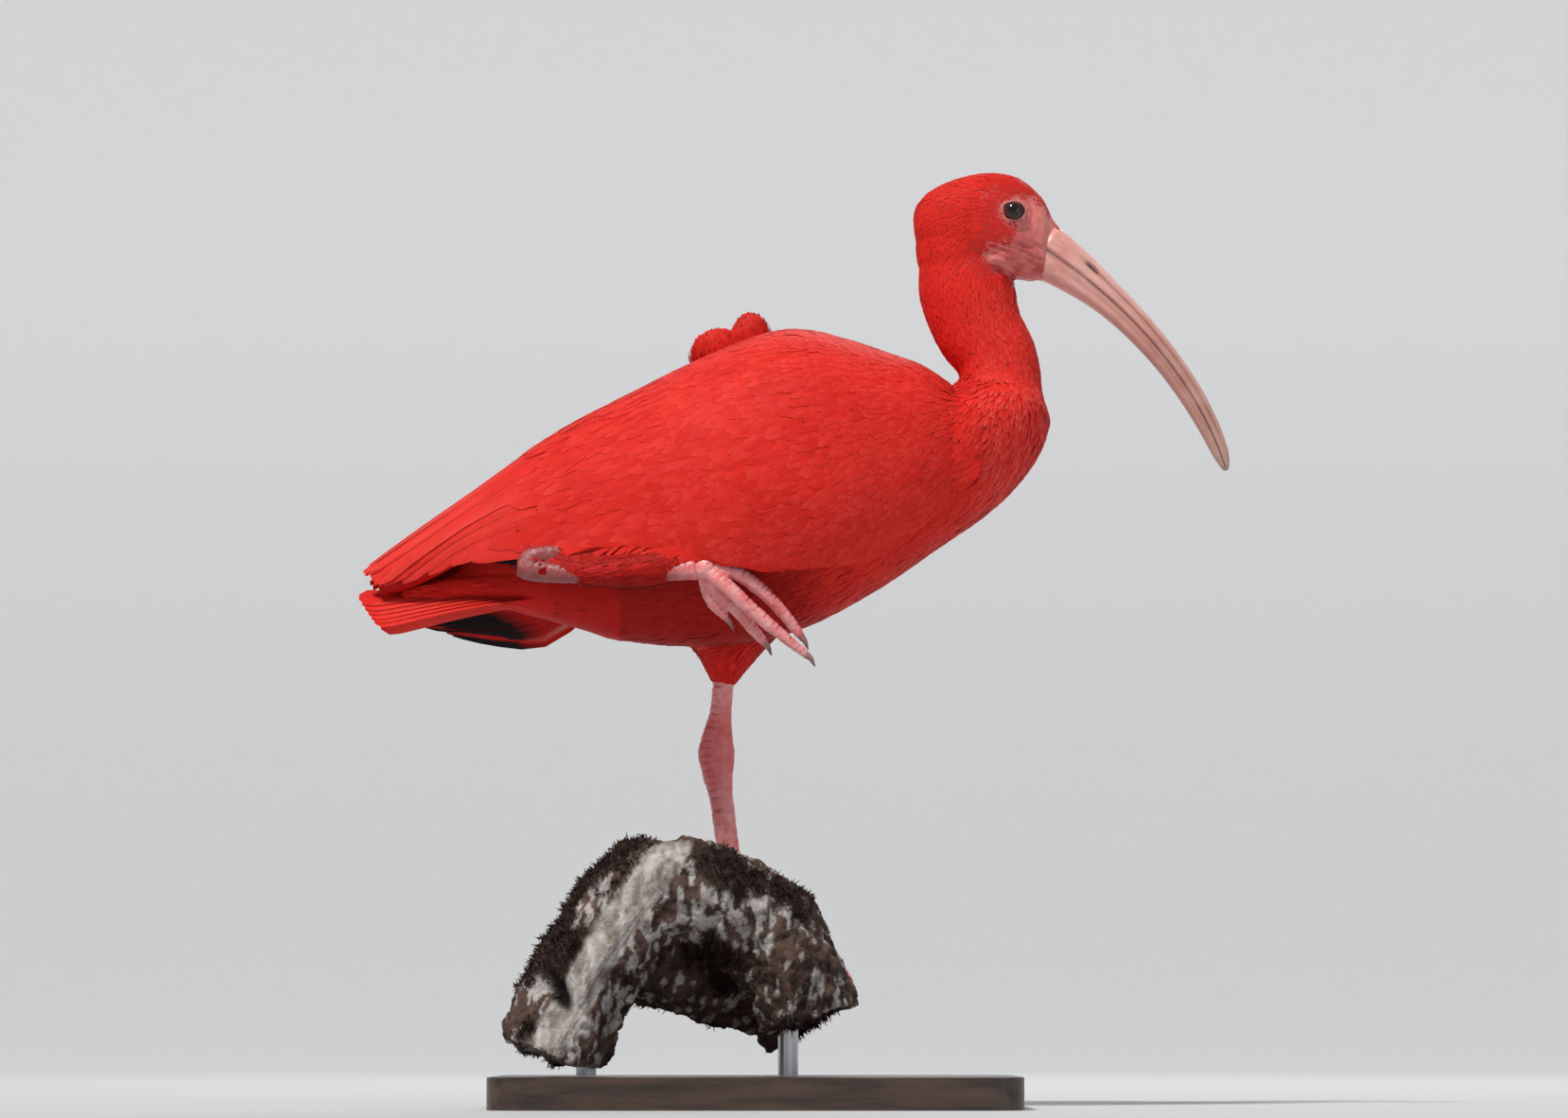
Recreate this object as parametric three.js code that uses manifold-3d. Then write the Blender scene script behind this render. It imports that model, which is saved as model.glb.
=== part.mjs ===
// A life-size scarlet ibis that stands on its left leg on a cut length of branch, its right leg drawn up,
// on a small display stand. Millimetres. +X is the way the bird faces, +Y its left side, +Z up.
// The origin is the middle of the underside of the stand's base.
import * as THREE from "three";
import { mergeVertices } from "three/addons/utils/BufferGeometryUtils.js";
import Module from "manifold-3d";

const wasm = await Module();
wasm.setup();

const { sin, cos, abs, sign, sqrt, PI, hypot } = Math;
const { lerp, smoothstep, degToRad } = THREE.MathUtils;

// Driving dimensions
const GAP = 0.3; // clearance between touching pieces
const ROUNDNESS = 2.4; // exponent of the body's oval sections, where 2 is an ellipse
const VANE = { thick: 0.6, shaft: 0.25, apart: 1.45, sunk: 5 };
const ROOT_SPREAD = 1.6; // how much further apart feathers stand where they leave the skin
const BASE = { length: 230, width: 150, thick: 14, corner: 16 };
const ROD = { radius: 4.5, at: [-74, 14], y: [-20, -8] };

// Sections of the body along X: middle height, half width, and reach above and below the middle.
const TORSO_ROWS = [
  { x: 131, mid: 304, half: 2, up: 2, down: 2 },
  { x: 127, mid: 303, half: 16, up: 14, down: 14 },
  { x: 118, mid: 300, half: 28, up: 24, down: 25 },
  { x: 104, mid: 295, half: 38, up: 29, down: 34 },
  { x: 84, mid: 289, half: 46, up: 31, down: 42 },
  { x: 50, mid: 284, half: 51, up: 46, down: 60 },
  { x: 12, mid: 276, half: 51, up: 57, down: 70 },
  { x: -30, mid: 262, half: 43, up: 55, down: 61 },
  { x: -65, mid: 250, half: 30, up: 47, down: 45 },
  { x: -96, mid: 241, half: 19, up: 34, down: 25 },
  { x: -122, mid: 234, half: 12, up: 15, down: 13 },
  { x: -140, mid: 229, half: 2, up: 2, down: 2 },
];

// The folded wings' surface, under the feathers that lie on it.
const WING_ROWS = [
  { x: 88, mid: 290, half: 43, up: 30, down: 40 },
  { x: 70, mid: 288, half: 51, up: 40, down: 55 },
  { x: 40, mid: 283, half: 56, up: 49, down: 65 },
  { x: 12, mid: 276, half: 57, up: 58, down: 66 },
  { x: -30, mid: 262, half: 51, up: 58.5, down: 50 },
  { x: -65, mid: 250, half: 41, up: 55, down: 42 },
  { x: -96, mid: 243, half: 32, up: 46.5, down: 36 },
  { x: -126, mid: 240, half: 24, up: 28.5, down: 27 },
  { x: -151, mid: 237, half: 16, up: 14, down: 20 },
  { x: -172, mid: 232, half: 9, up: 5, down: 14 },
];
// Height of the folded wing's lower edge, and the half width of the strip of back between the wings.
const WING_EDGE = [
  { x: 88, low: 268, bare: 30 },
  { x: 59, low: 246, bare: 14 },
  { x: 25, low: 241, bare: 1.6 },
  { x: -4, low: 241, bare: 1.6 },
  { x: -42, low: 247, bare: 1.6 },
  { x: -84, low: 247, bare: 1.4 },
  { x: -118, low: 243, bare: 1.2 },
  { x: -150, low: 232, bare: 1 },
  { x: -176, low: 224, bare: 0.8 },
];
const WING_CORE = { front: 84, back: -62, deep: 14, bevel: 12 };

// Head: sections square to an axis that slopes down from the nape to the bill.
const HEAD = { nape: [71.9, 0, 398.8], slope: degToRad(12.4) };
const HEAD_ROWS = [
  { x: -1, mid: 0, half: 2, up: 2, down: 5 },
  { x: 3, mid: 0, half: 10, up: 9, down: 15 },
  { x: 13, mid: 0, half: 15, up: 17, down: 21 },
  { x: 27, mid: 0, half: 17.5, up: 23.3, down: 24 },
  { x: 41, mid: 0, half: 16.5, up: 24, down: 22.5 },
  { x: 53, mid: 0, half: 12.5, up: 17.8, down: 21.5 },
  { x: 60, mid: 0, half: 9.8, up: 10, down: 20 },
  { x: 70, mid: 0, half: 8.5, up: 5, down: 17 },
  { x: 74, mid: 0, half: 2, up: 1, down: 4 },
];
const EYE = { x: 114, y: 12.6, z: 396, radius: 5.6, lid: 0.95 };
// The bill: its curve through the line of the mouth, and its size from the base to the tip.
const BILL = {
  base: [131.5, 0, 377.9],
  leave: degToRad(-34),
  tip: [208.7, 0, 281.8],
  arrive: degToRad(-72),
  pull: 45,
};
const BILL_FACE = { at: [131.7, 0, 377.6], slope: degToRad(-25.7) };
const BILL_ROWS = [
  { t: 0, over: 12.3, under: 11.4, half: 7.8 },
  { t: 0.08, over: 10.9, under: 9.7, half: 7 },
  { t: 0.25, over: 8.2, under: 7, half: 5.6 },
  { t: 0.5, over: 6.4, under: 5.6, half: 4.3 },
  { t: 0.75, over: 5.4, under: 4.6, half: 3.6 },
  { t: 0.93, over: 3.9, under: 3.1, half: 2.9 },
  { t: 0.985, over: 2.1, under: 1.5, half: 1.7 },
  { t: 1, over: 0.8, under: 0.6, half: 0.7 },
];
const NOSTRIL = { t: 0.13, rise: 0.6, length: 4.2, thick: 0.9 };
const GAPE = { back: 114, front: 140, thick: 0.8 };

// Neck: points on its centre line, with the half width and the half depth from front to back.
const NECK_ROWS = [
  { at: [93, 0, 382], half: 14.5, deep: 20 },
  { at: [93.7, 0, 364.6], half: 16.5, deep: 22.5 },
  { at: [98.7, 0, 346], half: 16.5, deep: 20.8 },
  { at: [106.9, 0, 331.8], half: 17.5, deep: 19.3 },
  { at: [108, 0, 316], half: 22, deep: 22 },
  { at: [97, 0, 297], half: 30, deep: 27 },
];
// Where the body is parted: a point of each cut, and the slope of its normal above +X.
const CUTS = {
  head: { at: [93, 0, 366.7], slope: degToRad(86) },
  neck: { at: [98.7, 0, 346], slope: degToRad(113) },
  breast: { at: [108, 0, 313], slope: degToRad(67) },
  tail: { at: [-93, 0, 240], slope: degToRad(184) },
};

// Tiers of flight and covert feathers on a folded wing. Each is a fan between its first feather, nearest the
// back, and its last: root and tip as [x, share of the way from the wing's upper edge to its lower edge].
const WING_TIERS = [
  {
    count: 4, // primaries, whose tips show under the secondaries
    root: [[-32, 0.84], [-20, 0.97]],
    tip: [[-122, 0.9], [-107, 1.02]],
    width: [10, 9],
    lift: [-3.4, -4.4],
    point: 0.7,
    columns: 2,
  },
  {
    count: 10, // tertials, then secondaries
    root: [[-38, 0.07], [2, 0.84]],
    tip: [[-171, 0.17], [-99, 0.92]],
    width: [17.5, 14],
    lift: [1.2, 0.8],
    point: 0.35,
    columns: 3,
  },
  {
    count: 7, // greater coverts
    root: [[2, 0.4], [42, 0.88]],
    tip: [[-60, 0.46], [-16, 0.96]],
    width: [17, 15],
    lift: [4.8, 4.4],
    point: 0.3,
    columns: 2,
    apart: 1.9,
  },
  {
    count: 6, // median coverts
    root: [[36, 0.44], [63, 0.84]],
    tip: [[-22, 0.5], [12, 0.92]],
    width: [18, 16],
    lift: [9, 8.6],
    point: 0.3,
    columns: 2,
    apart: 1.9,
  },
  {
    count: 4, // scapulars, over the shoulder and the upper edge of the wing
    root: [[47, 0.07], [48, 0.33]],
    tip: [[-56, 0.07], [-48, 0.31]],
    width: [20, 18],
    lift: [5.6, 7.6],
    point: 0.45,
    columns: 3,
    apart: 2.3,
  },
];
// The left wing's outer flight feathers hang lower and further back, so that they show beneath the tail.
const LEFT_HANG = { from: -30, to: -135, down: 32, out: 8, back: 30 };
// Ruffled feathers that stand up from the back.
const RUFFLE = { count: 4, x: [6, -22], share: [0.03, 0.16], length: 27, width: 14, rise: [13, 6] };

// Tail: a folded fan of flight feathers, the middle pair on top.
const TAIL = {
  pairs: 6,
  root: [-80, 1.4, 235],
  tipX: [-177, -166],
  tipY: [3, 20],
  tipZ: 229,
  width: 15,
  step: 1.1,
  roof: 0.5,
};

// Left leg, which stands. Rows of its centre line from the thigh down: half depth and half width.
const STANDING_THIGH = [
  { at: [-13, 19, 232], deep: 27, half: 16 },
  { at: [-13, 20, 214], deep: 25, half: 17 },
  { at: [-13.5, 22, 202], deep: 15, half: 13 },
  { at: [-14.5, 23, 193], deep: 8.6, half: 7.8 },
  { at: [-15, 23.2, 188], deep: 6, half: 5.4 },
];
const STANDING_LEG = [
  { at: [-14, 22.6, 198], deep: 4.8, half: 4.2 },
  { at: [-16, 23.4, 176], deep: 4.9, half: 4.1 },
  { at: [-17.6, 24, 164], deep: 7, half: 5.4 },
  { at: [-18, 24, 157], deep: 8.2, half: 6.2 },
  { at: [-17.4, 24, 149], deep: 7, half: 5.6 },
  { at: [-15.8, 24, 138], deep: 5.4, half: 4.3 },
  { at: [-12.4, 24, 113], deep: 5, half: 3.9 },
  { at: [-9.2, 24, 95], deep: 5.4, half: 4.6 },
];
const STANDING_FOOT = { at: [-8, 24, 90], radius: 6.4 };
// Right leg, which is drawn up beside the belly: shin above, shank below, toes hanging in front.
const RAISED_THIGH = [
  { at: [28, -41, 254], deep: 14, half: 10 },
  { at: [4, -43, 251], deep: 14, half: 11 },
  { at: [-26, -39.5, 247.6], deep: 9, half: 8.5 },
  { at: [-50, -36.4, 245.4], deep: 5.6, half: 5.2 },
  { at: [-56, -36, 244.8], deep: 4.6, half: 4.2 },
];
const RAISED_SHIN = [
  { at: [-46, -37, 245.8], deep: 4, half: 3.6 },
  { at: [-70, -36, 243], deep: 3.9, half: 3.5 },
  { at: [-88, -36, 240.8], deep: 4.4, half: 3.8 },
  { at: [-98, -36.2, 239.4], deep: 4.6, half: 4 },
  { at: [-102, -36.2, 238.8], deep: 2.8, half: 2.6 },
];
const RAISED_SHANK = [
  { at: [-104, -36.6, 235.2], deep: 4, half: 3.4 },
  { at: [-98, -36.8, 234], deep: 5, half: 4.4 },
  { at: [-88, -38.4, 232.6], deep: 4.4, half: 4 },
  { at: [-62, -44.5, 231.6], deep: 4, half: 3.7 },
  { at: [-36, -49.4, 232.2], deep: 4.2, half: 4 },
  { at: [-26, -51, 233], deep: 4.8, half: 4.6 },
];
const RAISED_HOCK = { at: [-100, -36.5, 236.6], radii: [7, 5.4, 6.8] };
const RAISED_FOOT = { at: [-22, -51.2, 233.4], radius: 5.8 };
const TOE_RADIUS = [4, 3.5, 2.5];
const CLAW = { length: 9, radius: 2.1 };
// Each toe's path over the perch from the foot, in plan, and its claw's fall.
const STANDING_TOES = {
  hind: [[-14, 24], [-25, 25], [-36, 25]],
  inner: [[2, 19], [18, 17], [32, 13]],
  middle: [[4, 24], [24, 22], [41, 20]],
  outer: [[0, 30], [14, 35], [29, 38]],
};
const RAISED_TOES = {
  hind: [[-22, -46.6, 226], [-19, -45, 219], [-13.5, -43, 213]],
  inner: [[-17, -46.4, 225], [-6, -44.2, 213], [3, -42, 202.5]],
  middle: [[-14, -54, 226.5], [4, -53.2, 210], [21, -50, 196.5]],
  outer: [[-9, -50.4, 231.5], [7, -47.4, 219.5], [19, -44, 205]],
};

// Perch: an arched near limb, and a lower far limb from the same fork that the foot grips.
const PERCH_LIMBS = [
  {
    rows: [
      { at: [-90, -24, 22], deep: 23.5, half: 28 },
      { at: [-72, -22, 60], deep: 23.5, half: 29 },
      { at: [-51, -19, 91], deep: 23.5, half: 30 },
      { at: [-24, -17, 95], deep: 24, half: 30 },
      { at: [1, -15, 79.5], deep: 24, half: 28 },
      { at: [17, -13, 56], deep: 23, half: 27 },
      { at: [23, -13, 38], deep: 22, half: 26 },
    ],
    knot: 0.04,
  },
  {
    rows: [
      { at: [-52, -4, 70], deep: 22, half: 22 },
      { at: [-31, 12, 63], deep: 24, half: 24 },
      { at: [-6, 23, 59.5], deep: 25, half: 25 },
      { at: [14, 27, 51], deep: 24.5, half: 25 },
      { at: [24, 28, 38], deep: 23, half: 23.5 },
    ],
    knot: 0.03,
  },
];

// The sawn lower end of the perch.
const SAWN = { at: [-80, 0, 19], slope: degToRad(-97) };

/** A point given as an array, as a vector. */
const vector = (point) => new THREE.Vector3(...point);

/** A manifold solid from points and triangles, turned the right way out. */
function solidFrom(points, triangles) {
  const build = (faces) =>
    new wasm.Manifold(
      new wasm.Mesh({
        numProp: 3,
        vertProperties: new Float32Array(points.flatMap((p) => [p.x, p.y, p.z])),
        triVerts: new Uint32Array(faces.flat()),
      }),
    );
  const made = build(triangles);
  return made.volume() > 0 ? made : build(triangles.map(([a, b, c]) => [a, c, b]));
}

/** A closed three.js geometry as a manifold solid. */
function solidOf(geometry) {
  const bare = geometry.index ? geometry.toNonIndexed() : geometry.clone();
  bare.deleteAttribute("normal");
  bare.deleteAttribute("uv");
  const merged = mergeVertices(bare, 1e-4);
  const triVerts = new Uint32Array(merged.index.array);
  const vertProperties = merged.attributes.position.array;
  return new wasm.Manifold(new wasm.Mesh({ numProp: 3, vertProperties, triVerts }));
}

/** The geometry of a manifold solid, with flat faces. */
function geometryOf(made) {
  const mesh = made.getMesh();
  const geometry = new THREE.BufferGeometry();
  geometry.setAttribute("position", new THREE.BufferAttribute(new Float32Array(mesh.vertProperties), 3));
  geometry.setIndex(new THREE.BufferAttribute(new Uint32Array(mesh.triVerts), 1));
  const flat = geometry.toNonIndexed();
  flat.computeVertexNormals();
  return flat;
}

/** The largest closed piece of a solid, which drops scraps that a cut leaves. */
function largest(made) {
  return made.decompose().reduce((best, one) => (one.volume() > best.volume() ? one : best));
}

const union = (pieces) => pieces.reduce((all, one) => all.add(one));

/** A smooth reading of a table of rows at any x: each column is a cubic through its values. */
function profile(rows, key = "x") {
  const columns = Object.keys(rows[0]).filter((name) => name !== key);
  const step = sign(rows.at(-1)[key] - rows[0][key]);
  const slope = (i, name) => {
    const a = rows[Math.max(i - 1, 0)];
    const b = rows[Math.min(i + 1, rows.length - 1)];
    return (b[name] - a[name]) / (b[key] - a[key]);
  };
  return (x) => {
    let i = 0;
    while (i < rows.length - 2 && (x - rows[i + 1][key]) * step > 0) i += 1;
    const a = rows[i];
    const b = rows[i + 1];
    const run = b[key] - a[key];
    const t = THREE.MathUtils.clamp((x - a[key]) / run, 0, 1);
    const read = (name) =>
      a[name] * (1 + 2 * t) * (1 - t) ** 2 +
      b[name] * t * t * (3 - 2 * t) +
      slope(i, name) * run * t * (1 - t) ** 2 -
      slope(i + 1, name) * run * t * t * (1 - t);
    return Object.fromEntries(columns.map((name) => [name, read(name)]));
  };
}

/** A closed skin over rings of points, each end closed by a fan. */
function loft(rings) {
  const sides = rings[0].length;
  const points = rings.flat();
  const triangles = [];
  for (let i = 0; i + 1 < rings.length; i += 1) {
    for (let j = 0; j < sides; j += 1) {
      const a = i * sides + j;
      const b = i * sides + ((j + 1) % sides);
      triangles.push([a, b, a + sides], [b, b + sides, a + sides]);
    }
  }
  for (const [start, turn] of [[0, 1], [(rings.length - 1) * sides, 0]]) {
    const centre = new THREE.Vector3();
    for (let j = 0; j < sides; j += 1) centre.addScaledVector(points[start + j], 1 / sides);
    points.push(centre);
    for (let j = 0; j < sides; j += 1) {
      const pair = [start + j, start + ((j + 1) % sides)];
      triangles.push([points.length - 1, ...(turn ? pair.reverse() : pair)]);
    }
  }
  return solidFrom(points, triangles);
}

/** A closed thin slab over a grid: corner(i, j, face) gives a point of its under face, 0, or top face, 1. */
function slab(rows, columns, corner) {
  const points = [];
  const index = (i, j, face) => (i * columns + j) * 2 + face;
  for (let i = 0; i < rows; i += 1) {
    for (let j = 0; j < columns; j += 1) points.push(corner(i, j, 0), corner(i, j, 1));
  }
  const triangles = [];
  const quad = (a, b, c, d) => triangles.push([a, b, c], [a, c, d]);
  for (let i = 0; i + 1 < rows; i += 1) {
    for (let j = 0; j + 1 < columns; j += 1) {
      const cell = (face) => [index(i, j, face), index(i + 1, j, face), index(i + 1, j + 1, face), index(i, j + 1, face)];
      quad(...cell(1));
      const [a, b, c, d] = cell(0);
      triangles.push([a, c, b], [a, d, c]);
    }
    quad(index(i, 0, 0), index(i + 1, 0, 0), index(i + 1, 0, 1), index(i, 0, 1));
    quad(index(i + 1, columns - 1, 0), index(i, columns - 1, 0), index(i, columns - 1, 1), index(i + 1, columns - 1, 1));
  }
  for (let j = 0; j + 1 < columns; j += 1) {
    quad(index(0, j + 1, 0), index(0, j, 0), index(0, j, 1), index(0, j + 1, 1));
    quad(index(rows - 1, j, 0), index(rows - 1, j + 1, 0), index(rows - 1, j + 1, 1), index(rows - 1, j, 1));
  }
  return solidFrom(points, triangles);
}

/** A point of an oval section: [sideways, height]. The angle runs from the top. */
function oval({ mid, half, up, down }, angle, lift = 0) {
  const c = cos(angle);
  const reach = (c > 0 ? up : down) + lift;
  const power = 2 / ROUNDNESS;
  return [sign(sin(angle)) * (half + lift) * abs(sin(angle)) ** power, mid + sign(c) * reach * abs(c) ** power];
}

/** A body of oval sections along X, grown by lift. Stations crowd towards its two ends. */
function ovalBody(rows, stations, sides, lift = 0) {
  const at = profile(rows);
  const [front, back] = [rows[0].x, rows.at(-1).x];
  const rings = [];
  for (let i = 0; i <= stations; i += 1) {
    const even = i / stations;
    const crowded = (1 - cos(PI * even)) / 2;
    const x = lerp(front, back, lerp(even, crowded, 0.7));
    const end = i === 0 ? lift : i === stations ? -lift : 0;
    const row = at(x);
    const ring = [];
    for (let j = 0; j < sides; j += 1) {
      const [y, z] = oval(row, (2 * PI * j) / sides, lift);
      ring.push(new THREE.Vector3(x + end * sign(front - back), y, z));
    }
    rings.push(ring);
  }
  return loft(rings);
}

// Share of a path over which its sections turn with a bend, so that they don't cross inside it.
const BEND_EASE = 0.06;

/** A limb of oval sections square to a smooth path, with its width along the bird's Y. */
function limb(rows, stations, sides, lift = 0, shape = () => 1) {
  const curve = new THREE.CatmullRomCurve3(rows.map((row) => vector(row.at)), false, "centripetal");
  const sizes = rows.map((row, i) => ({ t: i / (rows.length - 1), deep: row.deep, half: row.half }));
  const size = profile(sizes, "t");
  const rings = [];
  for (let i = 0; i <= stations; i += 1) {
    const t = i / stations;
    const [before, after] = [Math.max(t - BEND_EASE, 0), Math.min(t + BEND_EASE, 1)];
    const along = curve.getTangent(before).add(curve.getTangent(after)).normalize();
    const up = new THREE.Vector3().crossVectors(along, new THREE.Vector3(0, 1, 0)).normalize();
    const across = new THREE.Vector3().crossVectors(up, along);
    const centre = curve.getPoint(t);
    const { deep, half } = size(t);
    const ring = [];
    for (let j = 0; j < sides; j += 1) {
      const angle = (2 * PI * j) / sides;
      const swell = shape(t, angle);
      const point = centre.clone().addScaledVector(up, (deep * swell + lift) * cos(angle));
      ring.push(point.addScaledVector(across, (half * swell + lift) * sin(angle)));
    }
    rings.push(ring);
  }
  return loft(rings);
}

/** Everything on the side of a plane that its normal points to, as a block to cut with. */
function beyond({ at, slope }, shift = 0) {
  const size = 900;
  const block = new THREE.BoxGeometry(size, size, size);
  block.translate(size / 2 + shift, 0, 0).rotateY(-slope).translate(...at);
  return solidOf(block);
}

/** The slab of a solid between two cuts, half a gap clear of each. Either cut may be left out. */
function between(whole, after, before) {
  let piece = whole;
  if (after) piece = piece.subtract(beyond({ at: after.at, slope: after.slope + PI }, -GAP / 2));
  if (before) piece = piece.subtract(beyond(before, -GAP / 2));
  return largest(piece);
}

/** A ball, stretched along each axis, turned about Y by a slope and moved. */
function ball(at, radii, slope = 0, across = 9, high = 6) {
  const sphere = new THREE.SphereGeometry(1, across, high);
  return solidOf(sphere.scale(...radii).rotateY(-slope).translate(...at));
}

// A feather's half width from root to tip, as a share of its full width.
const VANE_STATIONS = [
  { s: 0, share: 0.5 },
  { s: 0.3, share: 0.9 },
  { s: 0.62, share: 1 },
  { s: 0.87, share: 0.78 },
  { s: 1, share: 0.16 },
];

/**
 * One feather as a thin plate on a chart. The chart gives a point from [u, v] and a lift above the surface, and
 * chart.arc(u) is the length of one unit of v. Root and tip are places on the chart. The lean is the height that
 * keeps a feather clear of its neighbours in a fan, at any place on the chart.
 */
function vane(chart, { root, tip, width, lift, lean = () => 0, rise = 0, point = 0.35, sink = VANE.sunk, columns = 3 }) {
  const arc = chart.arc((root[0] + tip[0]) / 2);
  const run = [tip[0] - root[0], (tip[1] - root[1]) * arc];
  const length = hypot(...run);
  const across = [-run[1] / length, run[0] / length];
  return slab(VANE_STATIONS.length, columns, (i, j, face) => {
    const { s, share } = VANE_STATIONS[i];
    const taper = lerp(1, 1 - s * 0.45, point);
    const side = (2 * j) / (columns - 1) - 1;
    const reach = side * (width / 2) * share * taper;
    const u = lerp(root[0], tip[0], s) + across[0] * reach;
    const v = lerp(root[1], tip[1], s) + (across[1] * reach) / arc;
    const settled = smoothstep(s, 0, 0.3);
    const crown = (side === 0 ? VANE.shaft : 0) + face * VANE.thick;
    const spread = lerp(ROOT_SPREAD, 1, settled);
    return chart(u, v, lerp(-sink, lift, settled) + lean(u, v) * spread + rise * s * s + crown);
  });
}

/** A fan of feathers between a tier's first and last, each leaning over the next. */
function tier(chart, { count, root, tip, width, lift, point, columns, apart = VANE.apart }, back = 0) {
  const mix = (pair, f) => [lerp(pair[0][0], pair[1][0], f), lerp(pair[0][1], pair[1][1], f)];
  const place = (f) => {
    const [tipX, tipV] = mix(tip, f);
    return { root: mix(root, f), tip: [tipX - back, tipV] };
  };
  // The share f of the way through the fan whose feather passes over a place.
  const shareAt = (u, v) => {
    let [low, high] = [-0.6, 1.6];
    for (let step = 0; step < 22; step += 1) {
      const f = (low + high) / 2;
      const { root: from, tip: to } = place(f);
      const line = lerp(from[1], to[1], (u - from[0]) / (to[0] - from[0]));
      if (line < v) low = f;
      else high = f;
    }
    return (low + high) / 2;
  };
  const made = [];
  for (let i = 0; i < count; i += 1) {
    const f = i / (count - 1);
    const lean = (u, v) => apart * (1 + (shareAt(u, v) - f) * (count - 1));
    const shape = { ...place(f), width: lerp(...width, f), lift: lerp(...lift, f) };
    made.push(vane(chart, { ...shape, lean, point, columns }));
  }
  return made;
}

const wingAt = profile(WING_ROWS);
const edgeAt = profile(WING_EDGE);

/** The angle at which a section of the wing's surface is at a height, or at a distance from the middle. */
function angleAtHeight(row, z) {
  const c = THREE.MathUtils.clamp((z - row.mid) / (z > row.mid ? row.up : row.down), -0.98, 0.98);
  return Math.acos(sign(c) * abs(c) ** (ROUNDNESS / 2));
}
const angleAtSide = (row, y) => Math.asin((y / row.half) ** (ROUNDNESS / 2));

/** The chart of one folded wing: x, share of the way down the wing, lift. Side is 1 for left, -1 for right. */
function wingChart(side) {
  const span = (x) => {
    const row = wingAt(x);
    const { low, bare } = edgeAt(x);
    return { row, from: angleAtSide(row, bare), to: angleAtHeight(row, low) };
  };
  const chart = (x, share, lift) => {
    const { row, from, to } = span(x);
    const [y, z] = oval(row, Math.max(lerp(from, to, share), from), lift);
    return new THREE.Vector3(x, side * Math.max(y, 0.6), z);
  };
  chart.arc = (x) => {
    const { row, from, to } = span(x);
    return ((to - from) * (row.half + row.up)) / 2;
  };
  return chart;
}

/** The shell of one folded wing, from the bend at the shoulder to where only feathers go on. */
function wingCore(chart) {
  const [stations, columns] = [11, 8];
  const { front, back, deep, bevel } = WING_CORE;
  return slab(stations, columns, (i, j, face) => {
    const x = lerp(front, back, i / (stations - 1));
    const share = j / (columns - 1);
    const fromEnd = Math.min(front - x, (x - back) * 1.5, (1 - share) * chart.arc(x));
    const thin = 1 - sqrt(THREE.MathUtils.clamp(fromEnd / bevel, 0, 1));
    return chart(x, share, face ? -5 * thin : -deep);
  });
}

/** One folded wing: its shell with every tier of feathers rooted in it, clear of the body beneath. */
function wing(side, clearOf) {
  const chart = wingChart(side);
  const { from, to, down, out, back } = LEFT_HANG;
  const hanging = (x, share, lift) => {
    const point = chart(x, share, lift);
    const hung = smoothstep(-x, -from, -to);
    return point.add(new THREE.Vector3(0, out * hung, -down * hung));
  };
  hanging.arc = chart.arc;
  const [outer, ...inner] = WING_TIERS;
  const feathers = side > 0 ? tier(hanging, outer, back) : tier(chart, outer);
  feathers.push(...inner.flatMap((row) => tier(chart, row)));
  if (side > 0) {
    for (let i = 0; i < RUFFLE.count; i += 1) {
      const f = i / (RUFFLE.count - 1);
      const x = lerp(...RUFFLE.x, f);
      const share = lerp(...RUFFLE.share, f);
      const rise = lerp(...RUFFLE.rise, f);
      const { width } = RUFFLE;
      const place = { root: [x, share], tip: [x - RUFFLE.length, share] };
      feathers.push(vane(chart, { ...place, width, lift: 9.5, rise, columns: 2 }));
    }
  }
  return largest(clearOf.reduce((left, body) => left.subtract(body), union([wingCore(chart), ...feathers])));
}

/** The folded tail: its fleshy core and the flight feathers. */
function tail(core) {
  const { root, tipX, tipY, tipZ, roof, step, pairs, width } = TAIL;
  const chart = (x, y, lift) => {
    const slope = (x - root[0]) / (tipX[0] - root[0]);
    return new THREE.Vector3(x, y, lerp(root[2], tipZ, slope) - roof * abs(y) + lift);
  };
  chart.arc = () => 1;
  const feathers = [];
  for (let i = 0; i < pairs; i += 1) {
    const f = i / (pairs - 1);
    for (const side of [1, -1]) {
      const from = [root[0], side * root[1] * (1 + i)];
      const to = [lerp(...tipX, f), side * lerp(...tipY, f)];
      const lift = -step * (2 * i + (side > 0 ? 0 : 1));
      const shape = { root: from, tip: to, width, lift, point: 0.15, sink: -lift, columns: 2 };
      feathers.push(vane(chart, shape));
    }
  }
  return union([core, ...feathers]);
}

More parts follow.
